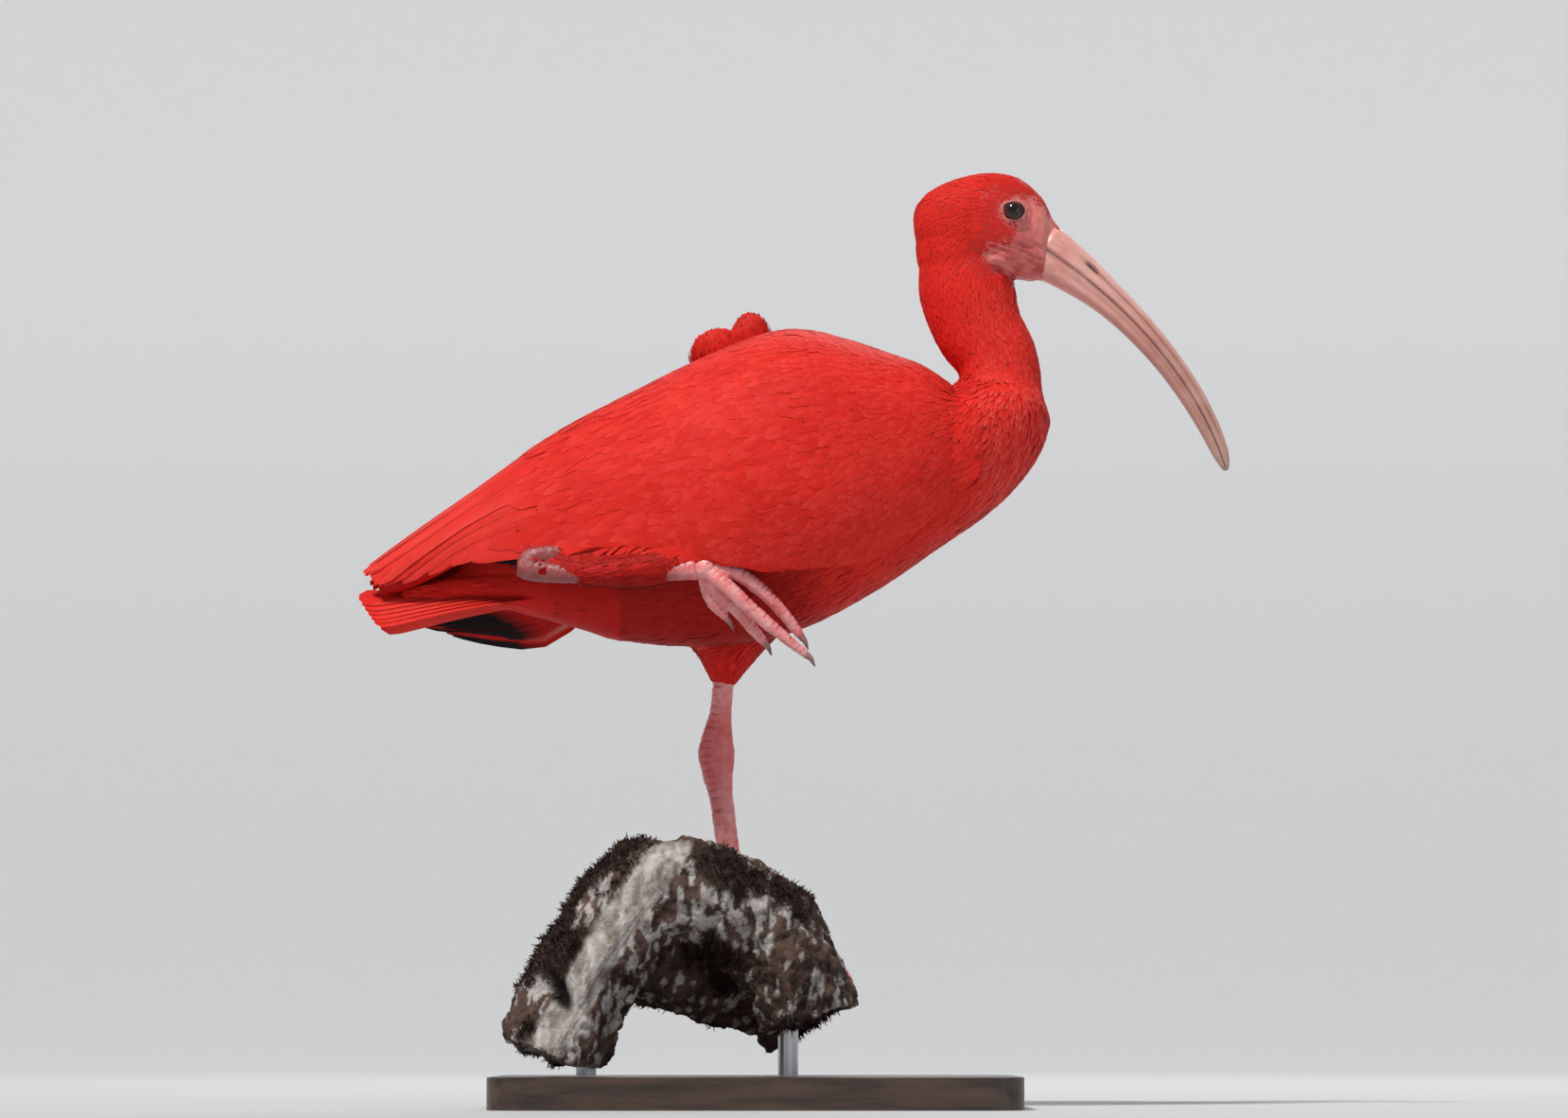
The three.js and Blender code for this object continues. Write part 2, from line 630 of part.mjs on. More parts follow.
/** The two halves of the bill, each of flat-sided sections along its curve, parted by the mouth. */
function bill() {
  const { base, leave, tip, arrive, pull } = BILL;
  const lean = (point, angle, by) => vector(point).add(new THREE.Vector3(cos(angle) * by, 0, sin(angle) * by));
  const curve = new THREE.CubicBezierCurve3(
    vector(base),
    lean(base, leave, pull),
    lean(tip, arrive, 5 - pull),
    vector(tip),
  );
  const size = profile(BILL_ROWS, "t");
  // Half sections, from the mouth on one side to the ridge: share of the half width, share of the height.
  const upper = [[0.94, 0], [1, 0.22], [0.97, 0.42], [0.8, 0.5], [0.78, 0.68], [0.48, 0.92], [0, 1]];
  const lower = [[0.94, 0], [0.95, 0.32], [0.8, 0.62], [0.45, 0.92], [0, 1]];
  const half = (outline, reach, turn) => {
    const rings = [];
    const stations = 12;
    for (let i = -1; i <= stations; i += 1) {
      const t = Math.max(i, 0) / stations;
      const along = curve.getTangent(t);
      const up = new THREE.Vector3(-along.z, 0, along.x);
      const centre = curve.getPoint(t).addScaledVector(along, i < 0 ? -9 : 0);
      const row = size(t);
      const place = (share, high, side) => {
        const rise = turn * (GAP / 2 + high * row[reach]);
        const point = centre.clone().addScaledVector(up, rise);
        point.y = side * share * row.half;
        return point;
      };
      const ring = outline.map(([share, high]) => place(share, high, 1));
      const back = outline.slice(0, -1).reverse();
      rings.push([...ring, ...back.map(([share, high]) => place(share, high, -1))]);
    }
    return loft(rings);
  };
  const bare = beyond({ at: BILL_FACE.at, slope: BILL_FACE.slope + PI }, -GAP / 2);
  let top = half(upper, "over", 1).subtract(bare);
  const along = curve.getTangent(NOSTRIL.t);
  const slope = Math.atan2(along.z, along.x);
  const row = size(NOSTRIL.t);
  const at = curve.getPoint(NOSTRIL.t).add(new THREE.Vector3(-along.z, 0, along.x).multiplyScalar(row.over * NOSTRIL.rise));
  for (const side of [1, -1]) {
    at.y = side * row.half * 0.82;
    top = top.subtract(ball(at.toArray(), [NOSTRIL.length, 1.8, NOSTRIL.thick], slope, 8, 6));
  }
  return { top: largest(top), bottom: largest(half(lower, "under", -1).subtract(bare)) };
}

/** The head's own solid, along its sloping axis. */
function headBody() {
  const turned = ovalBody([...HEAD_ROWS].reverse(), 12, 20);
  const degrees = (HEAD.slope * 180) / PI;
  return turned.rotate([0, degrees, 0]).translate(HEAD.nape);
}

/** Lids round each eye, the sockets, and the line of the mouth, worked into the head. */
function finishHead(whole) {
  let head = whole;
  for (const side of [1, -1]) {
    const lid = new THREE.TorusGeometry(EYE.radius - 0.55, EYE.lid, 5, 14);
    lid.scale(1.06, 1, 1).rotateX(PI / 2).rotateZ(side * degToRad(-8));
    lid.translate(EYE.x, side * (EYE.y + 2.7), EYE.z);
    head = head.add(solidOf(lid));
  }
  for (const side of [1, -1]) {
    const { x, y, z, radius } = EYE;
    head = head.subtract(ball([x, side * y, z], [radius + GAP, radius + GAP, radius + GAP], 0, 14, 9));
  }
  const length = GAPE.front - GAPE.back;
  const slit = new THREE.BoxGeometry(length, 60, GAPE.thick).translate(length / 2, 0, 0);
  slit.rotateY(degToRad(7)).translate(GAPE.back, 0, 380.6);
  return head.subtract(solidOf(slit));
}

/** Bark swells and knots on a perch limb. */
const barkShape = (knot) => (t, angle) =>
  1 + knot * sin(3 * angle + 9 * t) + knot * 0.8 * sin(5 * angle - 17 * t + 1) + knot * sin(21 * t + 2 * angle);

/** The forked perch, grown by lift. */
function perch(lift = 0) {
  const limbs = PERCH_LIMBS.map(({ rows, knot }) => limb(rows, 11, 11, lift, barkShape(knot)));
  return union(limbs).subtract(beyond(SAWN));
}

/** Height of the perch's upper surface over a point in plan, with its bark taken as smooth. */
function perchTop(x, y) {
  let top = 0;
  for (const { rows } of PERCH_LIMBS) {
    const curve = new THREE.CatmullRomCurve3(rows.map((row) => vector(row.at)), false, "centripetal");
    for (let i = 0; i <= 60; i += 1) {
      const f = (i / 60) * (rows.length - 1);
      const [a, b] = [rows[Math.floor(f)], rows[Math.min(Math.floor(f) + 1, rows.length - 1)]];
      const [deep, half] = [lerp(a.deep, b.deep, f % 1), lerp(a.half, b.half, f % 1)];
      const p = curve.getPoint(i / 60);
      const inside = 1 - ((x - p.x) / deep) ** 2 - ((y - p.y) / half) ** 2;
      if (inside > 0) top = Math.max(top, p.z + deep * sqrt(inside));
    }
  }
  return top;
}

/** One toe and its claw as two solids: the toe leaves the foot's ball and narrows to the claw's root. */
function toe(foot, path, thickness = 1) {
  const start = vector(foot.at);
  const points = [start, ...path.map(vector)];
  const last = points.at(-1);
  const away = last.clone().sub(points.at(-2)).normalize();
  const [thick, middle, thin] = TOE_RADIUS.map((r) => r * thickness);
  const radii = [thick, thick, middle, thin];
  const rows = points.map((p, i) => ({ at: p.toArray(), deep: radii[i], half: radii[i] * 0.92 }));
  const end = last.clone().addScaledVector(away, 1.2);
  rows.push({ at: end.toArray(), deep: thin * 0.55, half: thin * 0.5 });
  const knuckles = (t) => 1 + 0.07 * sin(26 * t);
  const body = limb(rows, 6, 6, 0, knuckles);
  const bend = away.clone().add(new THREE.Vector3(0, 0, -0.75)).normalize();
  const tip = last.clone().addScaledVector(away, CLAW.length * 0.45).addScaledVector(bend, CLAW.length * 0.55);
  const middlePoint = last.clone().addScaledVector(away, CLAW.length * 0.45);
  const r = CLAW.radius * thickness;
  const clawRows = [
    { at: last.clone().addScaledVector(away, -1).toArray(), deep: r, half: r * 0.75 },
    { at: middlePoint.toArray(), deep: r * 0.75, half: r * 0.6 },
    { at: tip.toArray(), deep: 0.5, half: 0.4 },
  ];
  const cut = away.x || away.z ? { at: end.toArray(), slope: Math.atan2(away.z, away.x) } : null;
  const claw = limb(clawRows, 4, 5);
  return { body, grown: limb(rows, 6, 6, GAP, knuckles), claw, cut };
}

// The body whole, then its parts
const torsoWhole = ovalBody(TORSO_ROWS, 17, 22);
const torsoGrown = ovalBody(TORSO_ROWS, 17, 22, GAP);
const neckWhole = limb(NECK_ROWS, 10, 18);
const neckGrown = limb(NECK_ROWS, 10, 18, GAP);
const bodyWhole = union([torsoWhole, neckWhole, headBody()]);
const parts = new Map();

parts.set("head", finishHead(between(bodyWhole, CUTS.head, BILL_FACE)));
const aboveBreast = between(bodyWhole, CUTS.breast, null);
parts.set("neck_upper", between(aboveBreast, CUTS.neck, CUTS.head));
parts.set("neck_lower", between(aboveBreast, null, CUTS.neck));
parts.set("torso", between(between(bodyWhole, null, CUTS.breast), null, CUTS.tail));
const tailCore = between(bodyWhole, CUTS.tail, null);

const raisedThigh = limb(RAISED_THIGH, 7, 12).subtract(torsoGrown);
const raisedShin = limb(RAISED_SHIN, 7, 8).subtract(torsoGrown);
const raisedGrown = [limb(RAISED_THIGH, 7, 12, GAP), limb(RAISED_SHIN, 7, 8, GAP)];
parts.set("wing_right", wing(-1, [torsoGrown, neckGrown, ...raisedGrown]));
parts.set("wing_left", wing(1, [torsoGrown, neckGrown]));
const tailWhole = tail(tailCore).subtract(beyond({ at: CUTS.tail.at, slope: CUTS.tail.slope + PI }, -GAP / 2));
parts.set("tail", largest(tailWhole));

const beak = bill();
parts.set("bill_upper", beak.top);
parts.set("bill_lower", beak.bottom);
for (const [side, word] of [[1, "left"], [-1, "right"]]) {
  parts.set(`eye_${word}`, ball([EYE.x, side * EYE.y, EYE.z], [EYE.radius, EYE.radius, EYE.radius], 0, 12, 8));
}

// Legs
const heelCut = { at: [-18, 24, 157], slope: degToRad(90) };
const leg = limb(STANDING_LEG, 16, 10);
const thighLeft = largest(limb(STANDING_THIGH, 8, 14).subtract(torsoGrown));
const kneeCut = { at: [-15, 23, 190.5], slope: degToRad(90) };
parts.set("thigh_left", between(thighLeft, kneeCut, null));
parts.set("shin_left", between(between(leg, heelCut, null), null, kneeCut));
const footBall = ball(STANDING_FOOT.at, [STANDING_FOOT.radius, STANDING_FOOT.radius, STANDING_FOOT.radius * 0.8]);
const perchGrown = perch(GAP);
parts.set("shank_left", largest(between(leg, null, heelCut).add(footBall).subtract(perchGrown)));

const raisedKnee = { at: [-53, -36, 245], slope: degToRad(180) };
parts.set("thigh_right", between(raisedThigh, null, raisedKnee));
parts.set("shin_right", between(raisedShin, raisedKnee, null));
const raisedBall = ball(RAISED_FOOT.at, [RAISED_FOOT.radius, RAISED_FOOT.radius * 0.85, RAISED_FOOT.radius]);
const raisedShank = union([limb(RAISED_SHANK, 9, 8), raisedBall, ball(RAISED_HOCK.at, RAISED_HOCK.radii)]);
parts.set("shank_right", largest(raisedShank.subtract(limb(RAISED_SHIN, 7, 8, GAP))));

for (const [word, foot, paths] of [
  ["left", STANDING_FOOT, STANDING_TOES],
  ["right", RAISED_FOOT, RAISED_TOES],
]) {
  const keep = foot.radius + GAP;
  const taken = [];
  const flat = word === "left" ? 0.8 : 1;
  for (const [name, path] of Object.entries(paths)) {
    const standing = word === "left";
    const thickness = name === "hind" ? 0.85 : 1;
    const placed = standing ? path.map(([x, y]) => [x, y, perchTop(x, y) + TOE_RADIUS[1] * 0.75]) : path;
    const { body, grown, claw, cut } = toe(foot, placed, thickness);
    let toeSolid = body.subtract(ball(foot.at, [keep, keep, keep * flat]));
    let clawSolid = claw;
    for (const other of taken) {
      toeSolid = toeSolid.subtract(other);
      clawSolid = clawSolid.subtract(other);
    }
    taken.push(grown);
    if (standing) {
      toeSolid = toeSolid.subtract(perchGrown);
      clawSolid = clawSolid.subtract(perchGrown);
    }
    parts.set(`toe_${word}_${name}`, between(toeSolid, null, cut));
    parts.set(`claw_${word}_${name}`, between(clawSolid, cut, null));
  }
}

// The perch and the stand under it
parts.set("perch", perch());
const plan = new THREE.Shape();
const { length, width, thick, corner } = BASE;
const [halfLength, halfWidth] = [length / 2, width / 2];
plan.moveTo(-halfLength + corner, -halfWidth);
plan.lineTo(halfLength - corner, -halfWidth);
plan.absarc(halfLength - corner, -halfWidth + corner, corner, -PI / 2, 0);
plan.absarc(halfLength - corner, halfWidth - corner, corner, 0, PI / 2);
plan.absarc(-halfLength + corner, halfWidth - corner, corner, PI / 2, PI);
plan.absarc(-halfLength + corner, -halfWidth + corner, corner, PI, 1.5 * PI);
const plate = new THREE.ExtrudeGeometry(plan, { depth: thick, bevelEnabled: false, curveSegments: 5 });
parts.set("stand_base", solidOf(plate));
ROD.at.forEach((x, i) => {
  const high = 90;
  const rod = new THREE.CylinderGeometry(ROD.radius, ROD.radius, high, 14).rotateX(PI / 2);
  rod.translate(x, ROD.y[i], thick + GAP + high / 2);
  parts.set(`stand_rod_${i + 1}`, largestLow(solidOf(rod).subtract(perchGrown)));
});

/** The lowest closed piece of a solid: a rod's length under the perch that it holds. */
function largestLow(made) {
  const low = (piece) => piece.boundingBox().min[2];
  return made.decompose().reduce((best, one) => (low(one) < low(best) ? one : best));
}

// Finishes, by the start of each part's name
const FINISHES = [
  ["bill", { color: 0xd98f84, roughness: 0.38, metalness: 0 }],
  ["eye", { color: 0x120a08, roughness: 0.08, metalness: 0 }],
  ["claw", { color: 0x4a3a36, roughness: 0.45, metalness: 0 }],
  ["toe", { color: 0xd9636b, roughness: 0.55, metalness: 0 }],
  ["shank", { color: 0xd9636b, roughness: 0.55, metalness: 0 }],
  ["shin", { color: 0xd9636b, roughness: 0.55, metalness: 0 }],
  ["perch", { color: 0x5a524c, roughness: 0.95, metalness: 0 }],
  ["stand_base", { color: 0x33302e, roughness: 0.6, metalness: 0 }],
  ["stand_rod", { color: 0x8d8f92, roughness: 0.35, metalness: 0.9 }],
  ["", { color: 0xd81c12, roughness: 0.75, metalness: 0 }],
];

const ibis = new THREE.Group();
for (const [name, made] of parts) {
  const [, finish] = FINISHES.find(([start]) => name.startsWith(start));
  const mesh = new THREE.Mesh(geometryOf(made), new THREE.MeshStandardMaterial(finish));
  mesh.name = name;
  ibis.add(mesh);
}

export default ibis;
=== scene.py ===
"""Dresses a life-size scarlet ibis: its skin, feathers, bill, eyes, legs, perch and display stand.

Shapes are worked out in millimetres and become metres when a mesh is made. +X is the way the
bird faces, +Y is its left side and +Z is up.
"""

from __future__ import annotations

import logging
import math
from collections.abc import Callable, Sequence
from dataclasses import dataclass, field
from enum import Enum

import bpy
import numpy as np
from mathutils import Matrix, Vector, noise
from mathutils.bvhtree import BVHTree

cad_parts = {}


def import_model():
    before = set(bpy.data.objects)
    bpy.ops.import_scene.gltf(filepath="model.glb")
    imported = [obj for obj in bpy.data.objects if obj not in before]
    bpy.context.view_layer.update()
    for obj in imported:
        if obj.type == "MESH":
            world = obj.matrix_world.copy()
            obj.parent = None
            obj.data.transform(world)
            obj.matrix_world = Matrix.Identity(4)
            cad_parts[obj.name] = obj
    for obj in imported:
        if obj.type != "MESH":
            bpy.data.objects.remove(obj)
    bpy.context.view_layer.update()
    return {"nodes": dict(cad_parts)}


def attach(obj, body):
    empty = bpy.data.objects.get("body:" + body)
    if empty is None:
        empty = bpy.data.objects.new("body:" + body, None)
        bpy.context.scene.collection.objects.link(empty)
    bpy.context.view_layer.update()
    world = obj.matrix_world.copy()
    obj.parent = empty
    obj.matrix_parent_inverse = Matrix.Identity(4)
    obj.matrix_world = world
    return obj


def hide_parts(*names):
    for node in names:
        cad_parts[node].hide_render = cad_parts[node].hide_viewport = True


log = logging.getLogger("ibis")

MM = 0.001
SEED = 20
ROUNDNESS = 2.4
BAKE_PATCH = 0.003
BAKE_LAYER = "OFBake"
Array = np.ndarray
Colour = tuple[float, float, float]
Rows = Sequence[Sequence[float]]
Pairs = tuple[tuple[float, float], ...]
Draws = np.random.Generator
Socket = bpy.types.NodeSocket


class Side(Enum):
    """The two sides of the bird, as the sign of Y."""

    LEFT = 1
    RIGHT = -1

    @property
    def word(self) -> str:
        """The side's name, as the solids have it."""
        return self.name.lower()


class Zone(Enum):
    """The regions of the coat, each with feathers of its own size."""

    FACE = "face"
    HEAD = "head"
    NECK = "neck"
    BREAST = "breast"
    BODY = "body"
    BELLY = "belly"
    THIGH = "thigh"


# Sections of the body: x, middle height, half width, reach above and below the middle.
TORSO_ROWS = (
    (131, 304, 2, 2, 2), (127, 303, 16, 14, 14), (118, 300, 28, 24, 25), (104, 295, 38, 29, 34),
    (84, 289, 46, 31, 42), (50, 284, 51, 46, 60), (12, 276, 51, 57, 70), (-30, 262, 43, 55, 61),
    (-65, 250, 30, 47, 45), (-96, 241, 19, 34, 25), (-122, 234, 12, 15, 13), (-140, 229, 2, 2, 2),
)
WING_ROWS = (
    (88, 290, 43, 30, 40), (70, 288, 51, 40, 55), (40, 283, 56, 49, 65), (12, 276, 57, 58, 66),
    (-30, 262, 51, 58.5, 50), (-65, 250, 41, 55, 42), (-96, 243, 32, 46.5, 36),
    (-126, 240, 24, 28.5, 27), (-151, 237, 16, 14, 20), (-172, 232, 9, 5, 14),
)
# x, height of the wing's lower edge, half width of the strip of back between the wings.
WING_EDGE = (
    (88, 268, 30), (59, 246, 14), (25, 241, 1.6), (-4, 241, 1.6), (-42, 247, 1.6), (-84, 247, 1.4),
    (-118, 243, 1.2), (-150, 227, 1), (-176, 216, 0.8),
)
HEAD_NAPE = (71.9, 0.0, 398.8)
HEAD_SLOPE = math.radians(12.4)
HEAD_ROWS = (
    (-1, 0, 2, 2, 5), (3, 0, 10, 9, 15), (13, 0, 15, 17, 21), (27, 0, 17.5, 23.3, 24),
    (41, 0, 16.5, 24, 22.5), (53, 0, 12.5, 17.8, 21.5), (60, 0, 9.8, 9.6, 20), (66, 0, 8.6, 4.4, 17),
    (69, 0, 2, 1, 4),
)
# x, y, z of a centre line, half depth, half width.
NECK_ROWS = (
    (93, 0, 382, 20, 14.5), (93.7, 0, 364.6, 22.5, 16.5), (98.7, 0, 346, 20.8, 16.5),
    (106.9, 0, 331.8, 19.3, 17.5), (108, 0, 316, 22, 22), (97, 0, 297, 27, 30),
)
# How far the head's own neck sinks into the body's at each of those rows.
NECK_SINK = (0, 0, 0, 0.3, 2.6, 6)
STANDING_THIGH = (
    (-13, 19, 232, 27, 16), (-13, 20, 214, 25, 17), (-13.5, 22, 202, 15, 13),
    (-14.5, 23, 193, 8.6, 7.8), (-15, 23.2, 188, 6, 5.4),
)
STANDING_LEG = (
    (-14, 22.6, 198, 4.8, 4.2), (-16, 23.4, 176, 4.9, 4.1), (-17.6, 24, 164, 7, 5.4),
    (-18, 24, 157, 8.2, 6.2), (-17.4, 24, 149, 7, 5.6), (-15.8, 24, 138, 5.4, 4.3),
    (-12.4, 24, 113, 5, 3.9), (-9.2, 24, 95, 5.4, 4.6),
)
STANDING_FOOT = ((-8.0, 24.0, 90.0), (6.4, 6.4, 5.1))
RAISED_THIGH = (
    (28, -41, 254, 14, 10), (4, -43, 251, 14, 11), (-26, -39.5, 247.6, 9, 8.5),
    (-50, -36.4, 245.4, 5.6, 5.2), (-56, -36, 244.8, 4.6, 4.2),
)
RAISED_SHIN = (
    (-46, -37, 245.8, 4, 3.6), (-70, -36, 243, 3.9, 3.5), (-88, -36, 240.8, 4.4, 3.8),
    (-98, -36.2, 239.4, 4.6, 4), (-102, -36.2, 238.8, 2.8, 2.6),
)
RAISED_SHANK = (
    (-104, -36.6, 235.2, 4, 3.4), (-98, -36.8, 234, 5, 4.4), (-88, -38.4, 232.6, 4.4, 4),
    (-62, -44.5, 231.6, 4, 3.7), (-36, -49.4, 232.2, 4.2, 4), (-26, -51, 233, 4.8, 4.6),
)
RAISED_HOCK = ((-99.0, -36.2, 236.8), (5.6, 4.4, 5.2))
RAISED_FOOT = ((-22.0, -51.2, 233.4), (4.8, 4.4, 5.0))
# Flank feathers wrap the drawn-up leg: over its shank, and along its shin.
FLANK_MUFF = (
    (-92, -36.5, 234.5, 3.2, 4.2), (-76, -39, 233.2, 6.6, 7.2), (-54, -43, 233.5, 8.6, 9.4),
    (-38, -46, 235.5, 8.8, 9.2), (-25, -45, 239, 6, 7),
)
SHIN_MUFF = (
    (-46, -37, 246.4, 6.5, 6.5), (-68, -36.4, 244, 6, 5.8), (-84, -36, 241.8, 5, 4.8),
    (-93, -36, 240.4, 3.2, 3.2),
)
# Soft flesh that fills the nape and the throat behind the jaw.
NAPE_FILL = ((90.8, 0.0, 381.0), (19.6, 14.6, 22.0))
UNDERTAIL = (
    (-58, 0, 228, 23, 26), (-88, 0, 229, 15, 20), (-114, 0, 229.5, 8.5, 15), (-140, 0, 227.5, 5, 12),
    (-157, 0, 225.5, 2.4, 9),
)
TOE_RADII = (4.0, 3.5, 2.5)
STANDING_TOES = {
    "hind": ((-14, 24), (-25, 25), (-36, 25)),
    "inner": ((2, 19), (18, 17), (32, 13)),
    "middle": ((4, 24), (24, 22), (41, 20)),
    "outer": ((0, 30), (14, 35), (29, 38)),
}
RAISED_TOES = {
    "hind": ((-22, -46.6, 226), (-19, -45, 219), (-13.5, -43, 213)),
    "inner": ((-17, -46.4, 225), (-6, -44.2, 213), (3, -42, 202.5)),
    "middle": ((-14, -54, 226.5), (4, -53.2, 210), (21, -50, 196.5)),
    "outer": ((-9, -50.4, 231.5), (7, -47.4, 219.5), (19, -44, 205)),
}
PERCH_NEAR = (
    (-90, -24, 22, 23.5, 28), (-72, -22, 60, 23.5, 29), (-51, -19, 91, 23.5, 30),
    (-24, -17, 95, 24, 30), (1, -15, 79.5, 24, 28), (17, -13, 56, 23, 27), (23, -13, 38, 22, 26),
)
PERCH_FAR = (
    (-52, -4, 70, 22, 22), (-31, 12, 63, 24, 24), (-6, 23, 59.5, 25, 25), (14, 27, 51, 24.5, 25),
    (24, 28, 38, 23, 23.5),
)
# The middle line of the bird from the bill to the tail, which its feathers follow.
FLOW_LINE = (
    (131, 0, 377), (105, 0, 390), (90, 0, 383), (93.7, 0, 364.6), (98.7, 0, 346), (106.9, 0, 331.8),
    (108, 0, 316), (97, 0, 297), (60, 0, 284), (12, 0, 276), (-30, 0, 262), (-65, 0, 250),
    (-96, 0, 241), (-140, 0, 229),
)
# The outline, in side view, of the bare skin round the eye and along the jaw.
BARE_FACE = (
    (152, 389), (134, 389), (131, 398.5), (124, 404), (115.5, 403.8), (108.5, 400.5), (107.2, 395.5),
    (110, 390), (115.5, 387.5), (113.5, 383), (105, 382.5), (99.5, 377.5), (102.5, 372), (114, 366),
    (124, 363.5), (152, 360),
)
EYE = (114.0, 12.6, 396.0)
EYE_RADIUS = 5.6


def ramp(x: Array | float, low: float, high: float) -> Array:
    """A smooth ramp from 0 at low to 1 at high."""
    t = np.clip((np.asarray(x, float) - low) / (high - low), 0, 1)
    return t * t * (3 - 2 * t)


def lerp(a: Array | float, b: Array | float, t: Array | float) -> Array:
    """The value a share t of the way from a to b."""
    return a + (b - a) * t


def unit(v: Array) -> Array:
    """Vectors of length 1 along the last axis."""
    return v / np.maximum(np.linalg.norm(v, axis=-1, keepdims=True), 1e-9)


def bell(x: Array, width: float, power: int = 2) -> Array:
    """A bump of 1 at 0 that fades to either side over a width."""
    return np.exp(-((x / width) ** power))


def full_turn(count: int) -> Array:
    """Even angles round a full turn."""
    return np.linspace(0, 2 * math.pi, count, endpoint=False)


class Profile:
    """A smooth reading of a table of rows at any value of its first column.

    Args:
        rows: Rows of numbers, in order of their first column.
    """

    def __init__(self, rows: Rows) -> None:
        """Sorts the rows and works out their slopes."""
        table = np.array(sorted(rows), float)
        self.keys, self.values = table[:, 0], table[:, 1:]
        last = len(table) - 1
        before = np.maximum(np.arange(len(table)) - 1, 0)
        after = np.minimum(np.arange(len(table)) + 1, last)
        run = (self.keys[after] - self.keys[before])[:, None]
        self.slopes = (self.values[after] - self.values[before]) / run

    def __call__(self, x: Array | float) -> Array:
        """The row at each x, without its first column."""
        x = np.asarray(x, float)
        i = np.clip(np.searchsorted(self.keys, x, side="right") - 1, 0, len(self.keys) - 2)
        run = self.keys[i + 1] - self.keys[i]
        t = np.clip((x - self.keys[i]) / run, 0, 1)[..., None]
        run = run[..., None]
        a, b = self.values[i], self.values[i + 1]
        bend = self.slopes[i] * run * t * (1 - t) ** 2 - self.slopes[i + 1] * run * t * t * (1 - t)
        return a * (1 + 2 * t) * (1 - t) ** 2 + b * t * t * (3 - 2 * t) + bend


class Path:
    """A smooth curve through points, read at shares of the way from its first to its last.

    Args:
        points: The points, each of three coordinates.
    """

    def __init__(self, points: Rows) -> None:
        """Adds a point before the first and one after the last."""
        p = np.array(points, float)
        self.padded = np.vstack([2 * p[0] - p[1], p, 2 * p[-1] - p[-2]])
        self.spans = len(p) - 1

    def __call__(self, t: Array | float) -> Array:
        """The point at each share t."""
        f = np.clip(np.asarray(t, float), 0, 1) * self.spans
        i = np.minimum(f.astype(int), self.spans - 1)
        w = (f - i)[..., None]
        a, b, c, d = (self.padded[i + k] for k in range(4))
        pairs = ((a, b), (b, c), (c, d))
        ab, bc, cd = (np.sqrt(np.linalg.norm(q - p, axis=-1, keepdims=True)) for p, q in pairs)
        start = ((b - a) / ab - (c - a) / (ab + bc) + (c - b) / bc) * bc
        end = ((c - b) / bc - (d - b) / (bc + cd) + (d - c) / cd) * bc
        square = -3 * b + 3 * c - 2 * start - end
        cube = 2 * b - 2 * c + start + end
        return b + start * w + square * w**2 + cube * w**3

    def tangent(self, t: Array | float, ease: float = 0.01) -> Array:
        """The direction at each share t, taken over a short stretch."""
        t = np.asarray(t, float)
        return unit(self(np.clip(t + ease, 0, 1)) - self(np.clip(t - ease, 0, 1)))


@dataclass
class Shape:
    """The points and faces of a mesh in the making, in millimetres."""

    points: Array
    quads: Array = field(default_factory=lambda: np.zeros((0, 4), int))
    tris: Array = field(default_factory=lambda: np.zeros((0, 3), int))
    tint: Array | None = None
    marks: dict[str, Array] = field(default_factory=dict)
    patch: Array | None = None

    @property
    def triangles(self) -> int:
        """How many triangles the shape has."""
        return 2 * len(self.quads) + len(self.tris)

    @property
    def corners(self) -> Array:
        """The numbers of each triangle's three points."""
        return np.vstack([self.quads[:, [0, 1, 2]], self.quads[:, [0, 2, 3]], self.tris])

    def join(self, *others: "Shape") -> "Shape":
        """One shape of this and others, which carry the same tints and marks."""
        every = [self, *others]
        starts = np.cumsum([0] + [len(s.points) for s in every[:-1]])
        stack = lambda rows: np.concatenate(list(rows))
        return Shape(
            points=stack(s.points for s in every),
            quads=stack(s.quads + n for s, n in zip(every, starts)),
            tris=stack(s.tris + n for s, n in zip(every, starts)),
            tint=None if self.tint is None else stack(s.tint for s in every),
            marks={name: stack(s.marks[name] for s in every) for name in self.marks},
            patch=None if self.patch is None else stack(s.patch for s in every),
        )

    def part(self, first: int, last: int, points_each: int, quads_each: int, tris_each: int) -> "Shape":
        """The part of a shape of like members, from the first of them up to the last."""
        rows = slice(first * points_each, last * points_each)
        shift = first * points_each
        return Shape(
            points=self.points[rows],
            quads=self.quads[first * quads_each : last * quads_each] - shift,
            tris=self.tris[first * tris_each : last * tris_each] - shift,
            tint=None if self.tint is None else self.tint[rows],
            marks={name: values[rows] for name, values in self.marks.items()},
            patch=None if self.patch is None else self.patch[rows],
        )


def read(items: bpy.types.bpy_prop_collection, name: str, each: int, kind: type) -> Array:
    """One property of every item of a mesh, with so many numbers each, in one row."""
    values = np.empty(each * len(items), kind)
    items.foreach_get(name, values)
    return values


